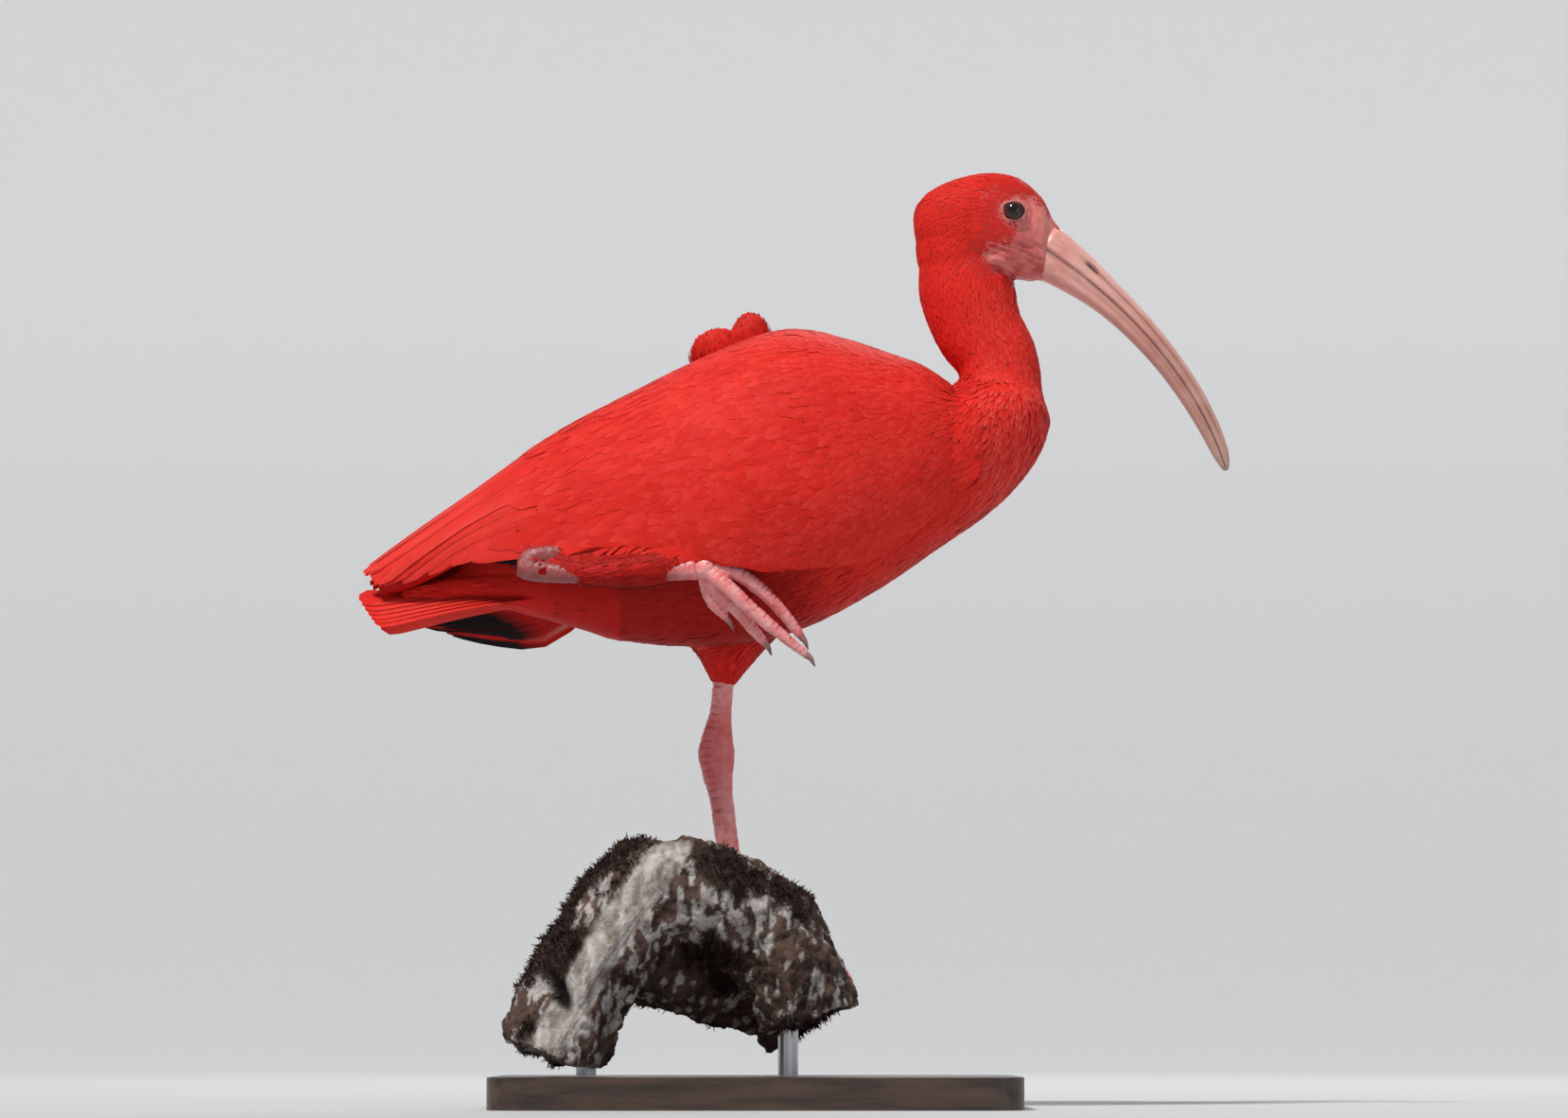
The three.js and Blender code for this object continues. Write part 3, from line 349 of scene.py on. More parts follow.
def make_mesh(name: str, shape: Shape) -> bpy.types.Mesh:
    """A Blender mesh of a shape, in metres, with its tint, marks and bake patches."""
    mesh = bpy.data.meshes.new(name)
    loops = np.concatenate([shape.quads.ravel(), shape.tris.ravel()]).astype(np.int32)
    sizes = np.concatenate([np.full(len(shape.quads), 4), np.full(len(shape.tris), 3)])
    starts = np.concatenate([[0], np.cumsum(sizes)[:-1]]).astype(np.int32)
    mesh.vertices.add(len(shape.points))
    mesh.loops.add(len(loops))
    mesh.polygons.add(len(sizes))
    mesh.vertices.foreach_set("co", (shape.points * MM).astype(np.float32).ravel())
    mesh.polygons.foreach_set("loop_start", starts)
    mesh.polygons.foreach_set("vertices", loops)
    mesh.update(calc_edges=True)
    if shape.tint is not None:
        colours = np.ones((len(shape.points), 4), np.float32)
        colours[:, :3] = shape.tint
        layer = mesh.color_attributes.new(name="tint", type="FLOAT_COLOR", domain="POINT")
        layer.data.foreach_set("color", colours.ravel())
    for mark, values in shape.marks.items():
        layer = mesh.attributes.new(mark, "FLOAT", "POINT")
        layer.data.foreach_set("value", values.astype(np.float32))
    if shape.patch is not None:
        layer = mesh.uv_layers.new(name=BAKE_LAYER)
        layer.uv.foreach_set("vector", shape.patch[loops].astype(np.float32).ravel())
    mesh.shade_smooth()
    if "rim" in shape.marks:
        ends = read(mesh.edges, "vertices", 2, np.int32)
        sharp = shape.marks["rim"][ends].reshape(-1, 2).min(1) > 0.5
        mesh.attributes.new("sharp_edge", "BOOLEAN", "EDGE").data.foreach_set("value", sharp)
    return mesh


def put(name: str, data: bpy.types.ID) -> bpy.types.Object:
    """A new object in the scene."""
    made = bpy.data.objects.new(name, data)
    bpy.context.scene.collection.objects.link(made)
    return made


def add_piece(name: str, shape: Shape, finish: Finish, nodes: Sequence[str]) -> None:
    """Adds a finished piece to the scene, which rides on the root body.

    Args:
        name: The piece's name.
        shape: Its points and faces.
        finish: What it is made of.
        nodes: The solids that it stands for.
    """
    piece = put(name, make_mesh(name, shape))
    piece.data.materials.append(finish.material())
    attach(piece, "root")
    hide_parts(*nodes)
    log.info("%s: %d triangles", name, shape.triangles)


def loft(rings: Array) -> Shape:
    """A closed skin over rings of points, each end closed by a fan.

    Args:
        rings: Points as (ring, place round the ring, coordinate).
    """
    count, sides = rings.shape[:2]
    points = np.vstack([rings.reshape(-1, 3), rings[0].mean(0), rings[-1].mean(0)])
    i, j = np.meshgrid(np.arange(count - 1), np.arange(sides), indexing="ij")
    a, b = (i * sides + j).ravel(), (i * sides + (j + 1) % sides).ravel()
    quads = np.stack([a, b, b + sides, a + sides], 1)
    k = np.arange(sides)
    after = (k + 1) % sides
    far = (count - 1) * sides
    first = np.stack([np.full(sides, count * sides), after, k], 1)
    last = np.stack([np.full(sides, count * sides + 1), far + k, far + after], 1)
    return Shape(points, quads, np.vstack([first, last]))


def oval(row: Array, angle: Array, lift: Array | float = 0.0) -> tuple[Array, Array]:
    """Points of an oval section, as (sideways, height). The angle runs from the top."""
    c, s = np.cos(angle), np.sin(angle)
    reach = np.where(c > 0, row[..., 2], row[..., 3]) + lift
    power = 2 / ROUNDNESS
    y = np.sign(s) * (row[..., 1] + lift) * np.abs(s) ** power
    return y, row[..., 0] + np.sign(c) * reach * np.abs(c) ** power


def oval_body(rows: Rows, stations: int, sides: int, lift: float = 0.0) -> Shape:
    """A body of oval sections along X, its stations crowded towards its ends."""
    at = Profile(rows)
    low, high = at.keys[0], at.keys[-1]
    even = np.linspace(0, 1, stations + 1)
    x = lerp(low, high, lerp(even, (1 - np.cos(math.pi * even)) / 2, 0.7))
    angle = full_turn(sides)
    y, z = oval(at(x)[:, None, :], angle[None, :], lift)
    return loft(np.stack([np.broadcast_to(x[:, None], y.shape), y, z], -1))


def limb(rows: Rows, stations: int, sides: int, grown: float = 0.0) -> Shape:
    """A limb of oval sections square to a smooth path, with its width along Y."""
    table = np.array(rows, float)
    path = Path(table[:, :3])
    share = np.linspace(0, 1, len(table))
    size = Profile(np.column_stack([share, table[:, 3:]]).tolist())
    t = np.linspace(0, 1, stations + 1)
    along = path.tangent(t, 0.05)
    up = unit(np.cross(along, [0, 1, 0]))
    across = np.cross(up, along)
    angle = full_turn(sides)[None, :, None]
    deep, half = (size(t)[:, None, None, k] + grown for k in range(2))
    rise, reach = deep * np.cos(angle), half * np.sin(angle)
    return loft(path(t)[:, None] + up[:, None] * rise + across[:, None] * reach)


def ball(centre: Sequence[float], radii: Sequence[float], around: int = 28, high: int = 16) -> Shape:
    """A ball, stretched along each axis."""
    polar = np.linspace(0.04, math.pi - 0.04, high)[:, None]
    turn = full_turn(around)[None]
    round_points = [np.sin(polar) * np.cos(turn), np.sin(polar) * np.sin(turn), np.cos(polar) + 0 * turn]
    return loft(np.stack(round_points, -1) * np.array(radii) + np.array(centre))


def slabs(corners: Array) -> Shape:
    """Closed thin plates, one for each grid.

    Args:
        corners: Points as (plate, row, column, under or top face, coordinate).
    """
    count, rows, columns = corners.shape[:3]
    number = np.arange(rows * columns * 2).reshape(rows, columns, 2)
    quads = []
    for a, b in zip(number[:-1], number[1:]):
        for j in range(columns - 1):
            quads.append([a[j, 1], b[j, 1], b[j + 1, 1], a[j + 1, 1]])
            quads.append([a[j, 0], a[j + 1, 0], b[j + 1, 0], b[j, 0]])
        quads.append([a[0, 0], b[0, 0], b[0, 1], a[0, 1]])
        quads.append([b[-1, 0], a[-1, 0], a[-1, 1], b[-1, 1]])
    first, last = number[0], number[-1]
    for j in range(columns - 1):
        quads.append([first[j + 1, 0], first[j, 0], first[j, 1], first[j + 1, 1]])
        quads.append([last[j, 0], last[j + 1, 0], last[j + 1, 1], last[j, 1]])
    starts = (np.arange(count) * number.size)[:, None, None]
    every = (np.array(quads)[None] + starts).reshape(-1, 4)
    rim = np.ones((count, rows, columns, 2))
    rim[:, 1:-1, 1:-1] = 0
    return Shape(corners.reshape(-1, 3), every, marks={"rim": rim.ravel()})


def fused(shape: Shape, voxel: float, rounds: int) -> Shape:
    """Overlapping closed surfaces made one even skin, then smoothed.

    Args:
        shape: The closed surfaces, in one shape.
        voxel: The size of the new faces.
        rounds: How many rounds of smoothing follow.
    """
    rough = put("rough", make_mesh("rough", Shape(shape.points, shape.quads, shape.tris)))
    remesh = rough.modifiers.new("even", "REMESH")
    remesh.mode = "VOXEL"
    remesh.voxel_size = voxel * MM
    relax = rough.modifiers.new("relax", "SMOOTH")
    relax.factor = 0.5
    relax.iterations = rounds
    shown = rough.evaluated_get(bpy.context.evaluated_depsgraph_get()).to_mesh()
    points = read(shown.vertices, "co", 3, np.float32)
    corners = read(shown.loops, "vertex_index", 1, np.int32)
    sizes = read(shown.polygons, "loop_total", 1, np.int32)
    starts = np.concatenate([[0], np.cumsum(sizes)[:-1]])
    quads = corners[starts[sizes == 4][:, None] + np.arange(4)]
    tris = corners[starts[sizes == 3][:, None] + np.arange(3)]
    bpy.data.objects.remove(rough, do_unlink=True)
    return Shape(points.reshape(-1, 3).astype(float) / MM, quads.astype(int), tris.astype(int))


def normals_of(shape: Shape) -> Array:
    """The direction out of the surface at each point."""
    faces = shape.corners
    a, b, c = (shape.points[faces[:, k]] for k in range(3))
    across = np.cross(b - a, c - a)
    total = np.zeros_like(shape.points)
    for axis in range(3):
        for k in range(3):
            total[:, axis] += np.bincount(faces[:, k], across[:, axis], len(total))
    return unit(total)


def surface_of(shape: Shape) -> BVHTree:
    """A tree to find the nearest place on a surface."""
    faces = shape.quads.tolist() + shape.tris.tolist()
    return BVHTree.FromPolygons(shape.points.tolist(), faces)


def nearest(tree: BVHTree, points: Array) -> tuple[Array, Array]:
    """The nearest place on a surface to each point, and the direction out of it there."""
    found = [tree.find_nearest(Vector(p)) for p in points]
    return np.array([f[0] for f in found]), np.array([f[1] for f in found])


def outer_faces(shape: Shape, other: BVHTree) -> Shape:
    """A shape's points with only the faces that don't lie inside another closed surface."""
    kept = []
    for faces in (shape.quads, shape.tris):
        if len(faces):
            middle = shape.points[faces].mean(1)
            found, out = nearest(other, middle)
            faces = faces[((middle - found) * out).sum(1) > -0.05]
        kept.append(faces)
    return Shape(shape.points, *kept)


def ripple(points: Array, scale: float, octaves: int = 3, seed: float = 0.0) -> Array:
    """Smooth noise from about -1 to 1 at points, whose swells are about scale millimetres wide."""
    moved = points / scale + seed
    basis = "PERLIN_ORIGINAL"
    return np.array([noise.fractal(Vector(p), 1.0, 2.0, octaves, noise_basis=basis) for p in moved])


def inside(polygon: Rows, x: Array, z: Array, soft: float) -> Array:
    """1 inside a polygon, 0 outside it, and a ramp of a width of soft along its edge."""
    corners = np.array(polygon, float)
    within = np.zeros(len(x), bool)
    nearest_edge = np.full(len(x), np.inf)
    for a, b in zip(corners, np.roll(corners, -1, 0)):
        run = b - a
        t = np.clip(((x - a[0]) * run[0] + (z - a[1]) * run[1]) / (run @ run), 0, 1)
        gap = np.hypot(x - a[0] - t * run[0], z - a[1] - t * run[1])
        nearest_edge = np.minimum(nearest_edge, gap)
        crossing = (b[0] - a[0]) * (z - a[1]) / (b[1] - a[1] + 1e-12) + a[0]
        within ^= ((a[1] > z) != (b[1] > z)) & (x < crossing)
    return ramp(np.where(within, nearest_edge, -nearest_edge), -soft, soft)


def seat_on_perch(x: float, y: float) -> float:
    """Height of the perch's upper surface over a place in plan."""
    top = 0.0
    for rows in (PERCH_NEAR, PERCH_FAR):
        table = np.array(rows, float)
        t = np.linspace(0, 1, 61)
        centre = Path(table[:, :3])(t)
        f = t * (len(table) - 1)
        deep = np.interp(f, np.arange(len(table)), table[:, 3])
        half = np.interp(f, np.arange(len(table)), table[:, 4])
        room = 1 - ((x - centre[:, 0]) / deep) ** 2 - ((y - centre[:, 1]) / half) ** 2
        heights = np.where(room > 0, centre[:, 2] + deep * np.sqrt(np.maximum(room, 0)), 0)
        top = max(top, float(heights.max()))
    return top


# Finishes


class Nodes:
    """A material's node tree, with short ways to add to it.

    Args:
        name: The material's name.
    """

    def __init__(self, name: str) -> None:
        """Makes the material and its tree."""
        self.material = bpy.data.materials.new(name)
        self.material.use_nodes = True
        self.tree = self.material.node_tree
        self.shader = self.tree.nodes["Principled BSDF"]

    def add(self, kind: str, **settings: object) -> bpy.types.Node:
        """A new node, with its properties set."""
        node = self.tree.nodes.new(f"ShaderNode{kind}")
        for name, value in settings.items():
            setattr(node, name, value)
        return node

    def feed(self, value: object, target: Socket) -> None:
        """Joins an output to an input, or sets the input to a value."""
        if isinstance(value, Socket):
            self.tree.links.new(value, target)
        else:
            target.default_value = value

    def math(self, operation: str, a: object, b: object = 0.5) -> Socket:
        """The result of a sum on one or two values."""
        node = self.add("Math", operation=operation)
        self.feed(a, node.inputs[0])
        self.feed(b, node.inputs[1])
        return node.outputs[0]

    def times(self, a: object, b: object) -> Socket:
        """Two values multiplied."""
        return self.math("MULTIPLY", a, b)

    def plus(self, a: object, b: object) -> Socket:
        """Two values added."""
        return self.math("ADD", a, b)

    def mark(self, name: str, output: str = "Fac") -> Socket:
        """A value that the mesh carries."""
        return self.add("Attribute", attribute_name=name).outputs[output]

    def tint(self) -> Socket:
        """The mesh's own colour."""
        return self.mark("tint", "Color")

    def ramp(self, factor: object, low: float, high: float) -> Socket:
        """A smooth ramp from 0 at low to 1 at high."""
        node = self.add("MapRange", interpolation_type="SMOOTHSTEP")
        self.feed(factor, node.inputs["Value"])
        node.inputs["From Min"].default_value = low
        node.inputs["From Max"].default_value = high
        return node.outputs["Result"]

    def mix(self, factor: object, a: object, b: object, blend: str = "MIX") -> Socket:
        """Two colours mixed."""
        node = self.add("Mix", data_type="RGBA", blend_type=blend)
        self.feed(factor, node.inputs["Factor"])
        for value, socket in ((a, node.inputs[6]), (b, node.inputs[7])):
            self.feed((*value, 1.0) if isinstance(value, tuple) else value, socket)
        return node.outputs[2]

    def stain(self, base: object, where: object, share: float, colour: Colour) -> Socket:
        """A base colour multiplied by a stain, by a share of the value that says where."""
        return self.mix(self.times(where, share), base, colour, "MULTIPLY")

    def noise(
        self, scale: float, detail: float = 3.0, vector: Socket | None = None, rough: float = 0.55
    ) -> Socket:
        """Noise in the object's own space, or over another vector."""
        node = self.add("TexNoise")
        where = vector or self.place()
        sockets = {"Scale": scale, "Detail": detail, "Roughness": rough, "Vector": where}
        for name, value in sockets.items():
            self.feed(value, node.inputs[name])
        return node.outputs["Fac"]

    def cells(self, scale: float, width: float, vector: object = None) -> Socket:
        """0 along the edges of irregular cells, rising to 1 a width away."""
        node = self.add("TexVoronoi", feature="DISTANCE_TO_EDGE")
        node.inputs["Scale"].default_value = scale
        self.feed(vector or self.place(), node.inputs["Vector"])
        return self.ramp(node.outputs["Distance"], 0.0, width)

    def place(self) -> Socket:
        """The place on the object."""
        return self.add("TexCoord").outputs["Object"]

    def stretched(self, *scale: float) -> Socket:
        """The place on the object, scaled along each axis."""
        node = self.add("Mapping")
        node.inputs["Scale"].default_value = scale
        self.feed(self.place(), node.inputs["Vector"])
        return node.outputs[0]

    def vector(self, x: object, y: object, z: object = 0.0) -> Socket:
        """Three values as a vector."""
        node = self.add("CombineXYZ")
        for value, socket in zip((x, y, z), node.inputs):
            self.feed(value, socket)
        return node.outputs[0]

    def surface(self, colour: Socket, grain: Socket, swing: float, roughness: float) -> None:
        """Gives the shader a colour, and a roughness that a grain raises by up to a swing."""
        self.feed(colour, self.shader.inputs["Base Color"])
        self.feed(self.plus(self.times(grain, swing), roughness), self.shader.inputs["Roughness"])

    def bump(self, height: Socket, strength: float, distance: float) -> None:
        """Small relief on the shader, distance in millimetres."""
        node = self.add("Bump")
        node.inputs["Strength"].default_value = strength
        node.inputs["Distance"].default_value = distance * MM
        self.feed(height, node.inputs["Height"])
        self.feed(node.outputs["Normal"], self.shader.inputs["Normal"])

    def set(self, **values: float) -> None:
        """Sets numbers on the shader's own sockets."""
        for name, value in values.items():
            socket = name.replace("_", " ").title().replace("Ior", "IOR")
            self.shader.inputs[socket].default_value = value


@dataclass(frozen=True)
class Finish:
    """What a piece is made of. Every kind adds nodes of its own."""

    name: str
    roughness: float = 0.5

    def material(self) -> bpy.types.Material:
        """The material, made once."""
        made = bpy.data.materials.get(self.name)
        if made is None:
            nodes = Nodes(self.name)
            self.build(nodes)
            made = nodes.material
        return made

    def build(self, n: Nodes) -> None:
        """Adds the finish's own nodes."""
        raise NotImplementedError


@dataclass(frozen=True)
class PlumageFinish(Finish):
    """Feathers: the mesh's own tint, with barbs slanting from each shaft and a soft sheen."""

    barbs: float = 1.0
    sheen: float = 0.03

    def build(self, n: Nodes) -> None:
        """Adds the finish's own nodes."""
        across, along, tone = (n.mark(name) for name in ("across", "along", "tone"))
        slant = n.math("SUBTRACT", along, n.times(n.math("ABSOLUTE", across), 1.1))
        seed = n.times(tone, 90.0)
        strands = n.noise(1.0, 2.0, n.vector(n.times(slant, 1.5), n.times(across, 0.12), seed))
        fine = n.noise(1.0, 2.0, n.vector(n.times(slant, 5.0), n.times(across, 0.3), seed))
        deep = n.stain(n.tint(), n.ramp(strands, 0.60, 0.36), 0.34 * self.barbs, (0.70, 0.48, 0.46))
        streaked = n.stain(deep, n.ramp(fine, 0.60, 0.40), 0.25, (0.72, 0.50, 0.48))
        lit = n.stain(streaked, n.ramp(n.noise(55.0), 0.42, 0.68), 0.35, (0.80, 0.52, 0.50))
        n.surface(lit, strands, 0.22, self.roughness - 0.11)
        n.bump(strands, 0.35 * self.barbs, 0.25)
        n.set(sheen_weight=self.sheen, sheen_roughness=0.4, specular_ior_level=0.14)
        n.shader.inputs["Sheen Tint"].default_value = (1.0, 0.45, 0.4, 1.0)


@dataclass(frozen=True)
class SkinFinish(Finish):
    """Skin: the mesh's tint, mottled, with fine wrinkles."""

    grain: float = 900.0
    relief: float = 0.25

    def build(self, n: Nodes) -> None:
        """Adds the finish's own nodes."""
        pores = n.noise(self.grain * 2.2)
        creases = n.cells(self.grain, 0.12)
        ruddy = n.stain(n.tint(), n.ramp(n.noise(260.0, 4.0), 0.42, 0.7), 0.5, (0.80, 0.46, 0.48))
        scaly = n.stain(ruddy, n.math("SUBTRACT", 1.0, creases), 0.35, (0.55, 0.28, 0.30))
        n.surface(scaly, pores, 0.25, self.roughness - 0.12)
        n.bump(n.plus(creases, n.times(pores, 0.5)), self.relief, 0.3)
        n.set(subsurface_weight=0.1, specular_ior_level=0.55)
        n.shader.inputs["Subsurface Radius"].default_value = (0.004, 0.0012, 0.0008)


@dataclass(frozen=True)
class HornFinish(Finish):
    """The bill's horn: its tint, clouded, with fine grain along it and a satin gloss."""

    def build(self, n: Nodes) -> None:
        """Adds the finish's own nodes."""
        lengthwise = n.vector(n.times(n.mark("along"), 0.16), n.times(n.mark("across"), 2.2))
        grain = n.noise(1.0, 4.0, lengthwise)
        worn = n.stain(n.tint(), n.ramp(grain, 0.42, 0.68), 0.34, (0.66, 0.50, 0.46))
        clouded = n.stain(worn, n.ramp(n.noise(120.0, 4.0), 0.5, 0.75), 0.3, (0.76, 0.62, 0.60))
        n.surface(clouded, grain, 0.2, self.roughness - 0.1)
        n.bump(n.plus(grain, n.times(n.noise(1500.0, 2.0), 0.4)), 0.22, 0.25)
        n.set(subsurface_weight=0.08, specular_ior_level=0.45, coat_weight=0.08, coat_roughness=0.3)
        n.shader.inputs["Subsurface Radius"].default_value = (0.003, 0.0012, 0.0009)


@dataclass(frozen=True)
class EyeFinish(Finish):
    """A wet dark eye, its brown iris barely lighter than the pupil."""

    def build(self, n: Nodes) -> None:
        """Adds the finish's own nodes."""
        tint, threads = n.tint(), n.noise(1400.0)
        brown = n.mix(n.ramp(threads, 0.35, 0.7), tint, n.mix(0.5, tint, (0.030, 0.010, 0.006)))
        n.surface(brown, threads, 0.02, self.roughness)
        n.set(coat_weight=0.35, coat_roughness=0.03, specular_ior_level=0.3)


@dataclass(frozen=True)
class ClawFinish(Finish):
    """Dark horn, paler where it is worn at the tip."""

    def build(self, n: Nodes) -> None:
        """Adds the finish's own nodes."""
        streaks = n.noise(700.0, 4.0)
        worn = n.stain(n.tint(), n.ramp(streaks, 0.4, 0.7), 0.5, (0.45, 0.36, 0.34))
        n.surface(worn, streaks, 0.25, self.roughness - 0.1)
        n.bump(streaks, 0.2, 0.2)
        n.set(specular_ior_level=0.5)


@dataclass(frozen=True)
class BarkFinish(Finish):
    """Bark, bare wood or moss: the mesh's tint with cracks, grain and lichen specks."""

    scale: float = 1.0

    def build(self, n: Nodes) -> None:
        """Adds the finish's own nodes."""
        coarse = n.noise(90.0 * self.scale, 8.0, rough=0.7)
        fine = n.noise(700.0 * self.scale, 5.0, rough=0.7)
        warped = n.add("VectorMath", operation="MULTIPLY_ADD")
        warps = (n.add("TexNoise").outputs["Color"], (0.03, 0.03, 0.03), n.place())
        for value, socket in zip(warps, warped.inputs):
            n.feed(value, socket)
        crack = n.cells(150.0 * self.scale, 0.10, warped.outputs[0])
        dark = n.stain(n.tint(), n.ramp(coarse, 0.56, 0.36), 0.75, (0.34, 0.28, 0.25))
        split = n.stain(dark, n.math("SUBTRACT", 1.0, crack), 0.18, (0.30, 0.25, 0.22))
        bare = n.math("SUBTRACT", 0.35, n.times(n.mark("moss"), 0.35))
        flecked = n.mix(n.times(n.ramp(fine, 0.60, 0.72), bare), split, (0.62, 0.58, 0.55))
        n.surface(flecked, fine, 0.2, self.roughness - 0.15)
        n.bump(n.plus(n.times(coarse, 1.2), n.plus(n.times(crack, 0.15), n.times(fine, 0.4))), 0.8, 1.2)
        n.set(specular_ior_level=0.2)


@dataclass(frozen=True)
class PlinthFinish(Finish):
    """Dark stained wood with a satin varnish."""

    def build(self, n: Nodes) -> None:
        """Adds the finish's own nodes."""
        lengthwise = n.stretched(6.0, 60.0, 60.0)
        grain, pores = n.noise(3.0, 8.0, lengthwise, rough=0.6), n.noise(30.0, 4.0, lengthwise)
        base = n.mix(n.ramp(grain, 0.35, 0.7), (0.020, 0.012, 0.008), (0.070, 0.038, 0.022))
        wood = n.mix(n.times(n.ramp(pores, 0.62, 0.7), 0.7), base, (0.008, 0.005, 0.004))
        n.surface(wood, grain, 0.2, self.roughness - 0.08)
        n.bump(n.plus(grain, pores), 0.12, 0.3)
        n.set(coat_weight=0.25, coat_roughness=0.25)


@dataclass(frozen=True)
class SteelFinish(Finish):
    """Brushed steel rod."""

    def build(self, n: Nodes) -> None:
        """Adds the finish's own nodes."""
        brushed = n.noise(1.0, 4.0, n.stretched(40.0, 40.0, 1400.0))
        grey = n.mix(brushed, (0.50, 0.50, 0.51), (0.66, 0.66, 0.67))
        n.surface(grey, brushed, 0.2, self.roughness - 0.1)
        n.bump(brushed, 0.1, 0.1)
        n.set(metallic=1.0)


@dataclass(frozen=True)
class PaperFinish(Finish):
    """The plain pale ground of the studio, in the mesh's own tint."""

    def build(self, n: Nodes) -> None:
        """Adds the finish's own nodes."""
        n.feed(n.tint(), n.shader.inputs["Base Color"])
        n.set(roughness=self.roughness, specular_ior_level=0.1)


BODY_PLUMAGE = PlumageFinish("scarlet_plumage", 0.66, 0.9)
FLIGHT_PLUMAGE = PlumageFinish("flight_plumage", 0.55)
SKIN = SkinFinish("bird_skin", 0.38)
HORN = HornFinish("bill_horn", 0.36)
WET_EYE = EyeFinish("wet_eye", 0.06)
CLAW_HORN = ClawFinish("claw_horn", 0.42)
BARK = BarkFinish("mossy_bark", 0.92)
MOSS = BarkFinish("moss_tufts", 0.98, 2.0)
PLINTH = PlinthFinish("stained_wood", 0.42)
STEEL = SteelFinish("brushed_rod", 0.32)
PAPER = PaperFinish("pale_paper", 0.9)

# Colours of the coat and skin, in linear light.
SCARLET: Colour = (0.80, 0.026, 0.016)
DEEP_SCARLET: Colour = (0.62, 0.014, 0.009)
CRIMSON: Colour = (0.45, 0.007, 0.005)
# A dark red painted as shade on the underside of the belly and on the near thigh.
PAINTED_UNDER_SHADE: Colour = (0.20, 0.003, 0.002)
ROSE: Colour = (0.88, 0.13, 0.11)
INK: Colour = (0.012, 0.010, 0.011)
BARE_ROSE: Colour = (0.74, 0.19, 0.165)
BARE_DUSK: Colour = (0.50, 0.060, 0.060)
LID_PINK: Colour = (0.66, 0.24, 0.21)
LEG_PINK: Colour = (0.85, 0.23, 0.23)
LEG_PALE: Colour = (0.94, 0.46, 0.46)
LEG_SHADE: Colour = (0.22, 0.022, 0.022)


def blend(a: Colour | Array, b: Colour | Array, share: Array) -> Array:
    """Two colours mixed, with a share of b for each point."""
    return lerp(np.asarray(a, float), np.asarray(b, float), np.asarray(share)[..., None])


def reds(share: Array) -> Array:
    """The coat's two main reds mixed, with a share of the brighter for each point."""
    return blend(DEEP_SCARLET, SCARLET, share)


def gaps_to(line: Array, points: Array) -> Array:
    """How far each point lies from each of a line's points."""
    return np.linalg.norm(points[:, None] - line[None], axis=2)


# The coat


class BodyMap:
    """An unwrap of the bird's own shape round its middle line, where each feather has its patch."""

    def __init__(self) -> None:
        """Measures out the middle line."""
        self.line = Path(FLOW_LINE)(np.linspace(0, 1, 131))
        steps = np.linalg.norm(np.diff(self.line, axis=0), axis=1)
        self.reach = np.concatenate([[0], np.cumsum(steps)])
        self.heading = unit(np.gradient(self.line, axis=0))

    def flow(self, points: Array, spread: float = 16.0) -> Array:
        """The way the coat lies near each point, from bill to tail, along the middle line."""
        gaps = gaps_to(self.line, points)
        near = gaps.min(1, keepdims=True)
        weights = np.exp(-((gaps - near) ** 2) / (2 * spread**2)) * np.exp(-(gaps - near) / 9.0)
        return unit(weights @ self.heading)

    def patch(self, points: Array) -> Array:
        """Where each point lies on the unwrap: round the middle line, and along it."""
        gaps = gaps_to(self.line, points)
        i = gaps.argmin(1)
        away = points - self.line[i]
        heading = self.heading[i]
        up = unit(np.cross(heading, np.array([0.0, 1.0, 0.0])))
        turn = np.arctan2(away[:, 1], (away * up).sum(1)) / (2 * math.pi) + 0.5
        along = self.reach[i] / self.reach[-1]
        return np.stack([0.01 + 0.97 * turn, 0.01 + 0.97 * along], 1)


@dataclass(frozen=True)
class Plume:
    """The size and set of one region's small feathers."""

    length: float
    width: float
    spacing: float
    thick: float
    raise_tip: float
    jitter: float
    pointed: float = 0.0


PLUMES = {
    Zone.FACE: Plume(3.2, 0.75, 0.92, 0.10, 0.14, 0.18, 0.6),
    Zone.HEAD: Plume(6.2, 1.05, 1.0, 0.12, 0.32, 0.15, 0.7),
    Zone.NECK: Plume(9.5, 1.25, 1.2, 0.14, 0.52, 0.18, 0.75),
    Zone.BREAST: Plume(14, 2.6, 1.75, 0.14, 0.62, 0.15, 0.5),
    Zone.BODY: Plume(19, 4.4, 2.5, 0.16, 0.6, 0.10, 0.3),
    Zone.BELLY: Plume(21, 3.0, 2.0, 0.16, 0.7, 0.14, 0.6),
    Zone.THIGH: Plume(12, 1.9, 1.6, 0.15, 0.7, 0.16, 0.6),
}

PLUME_POINTS, PLUME_QUADS, PLUME_TRIS = 14, 8, 8


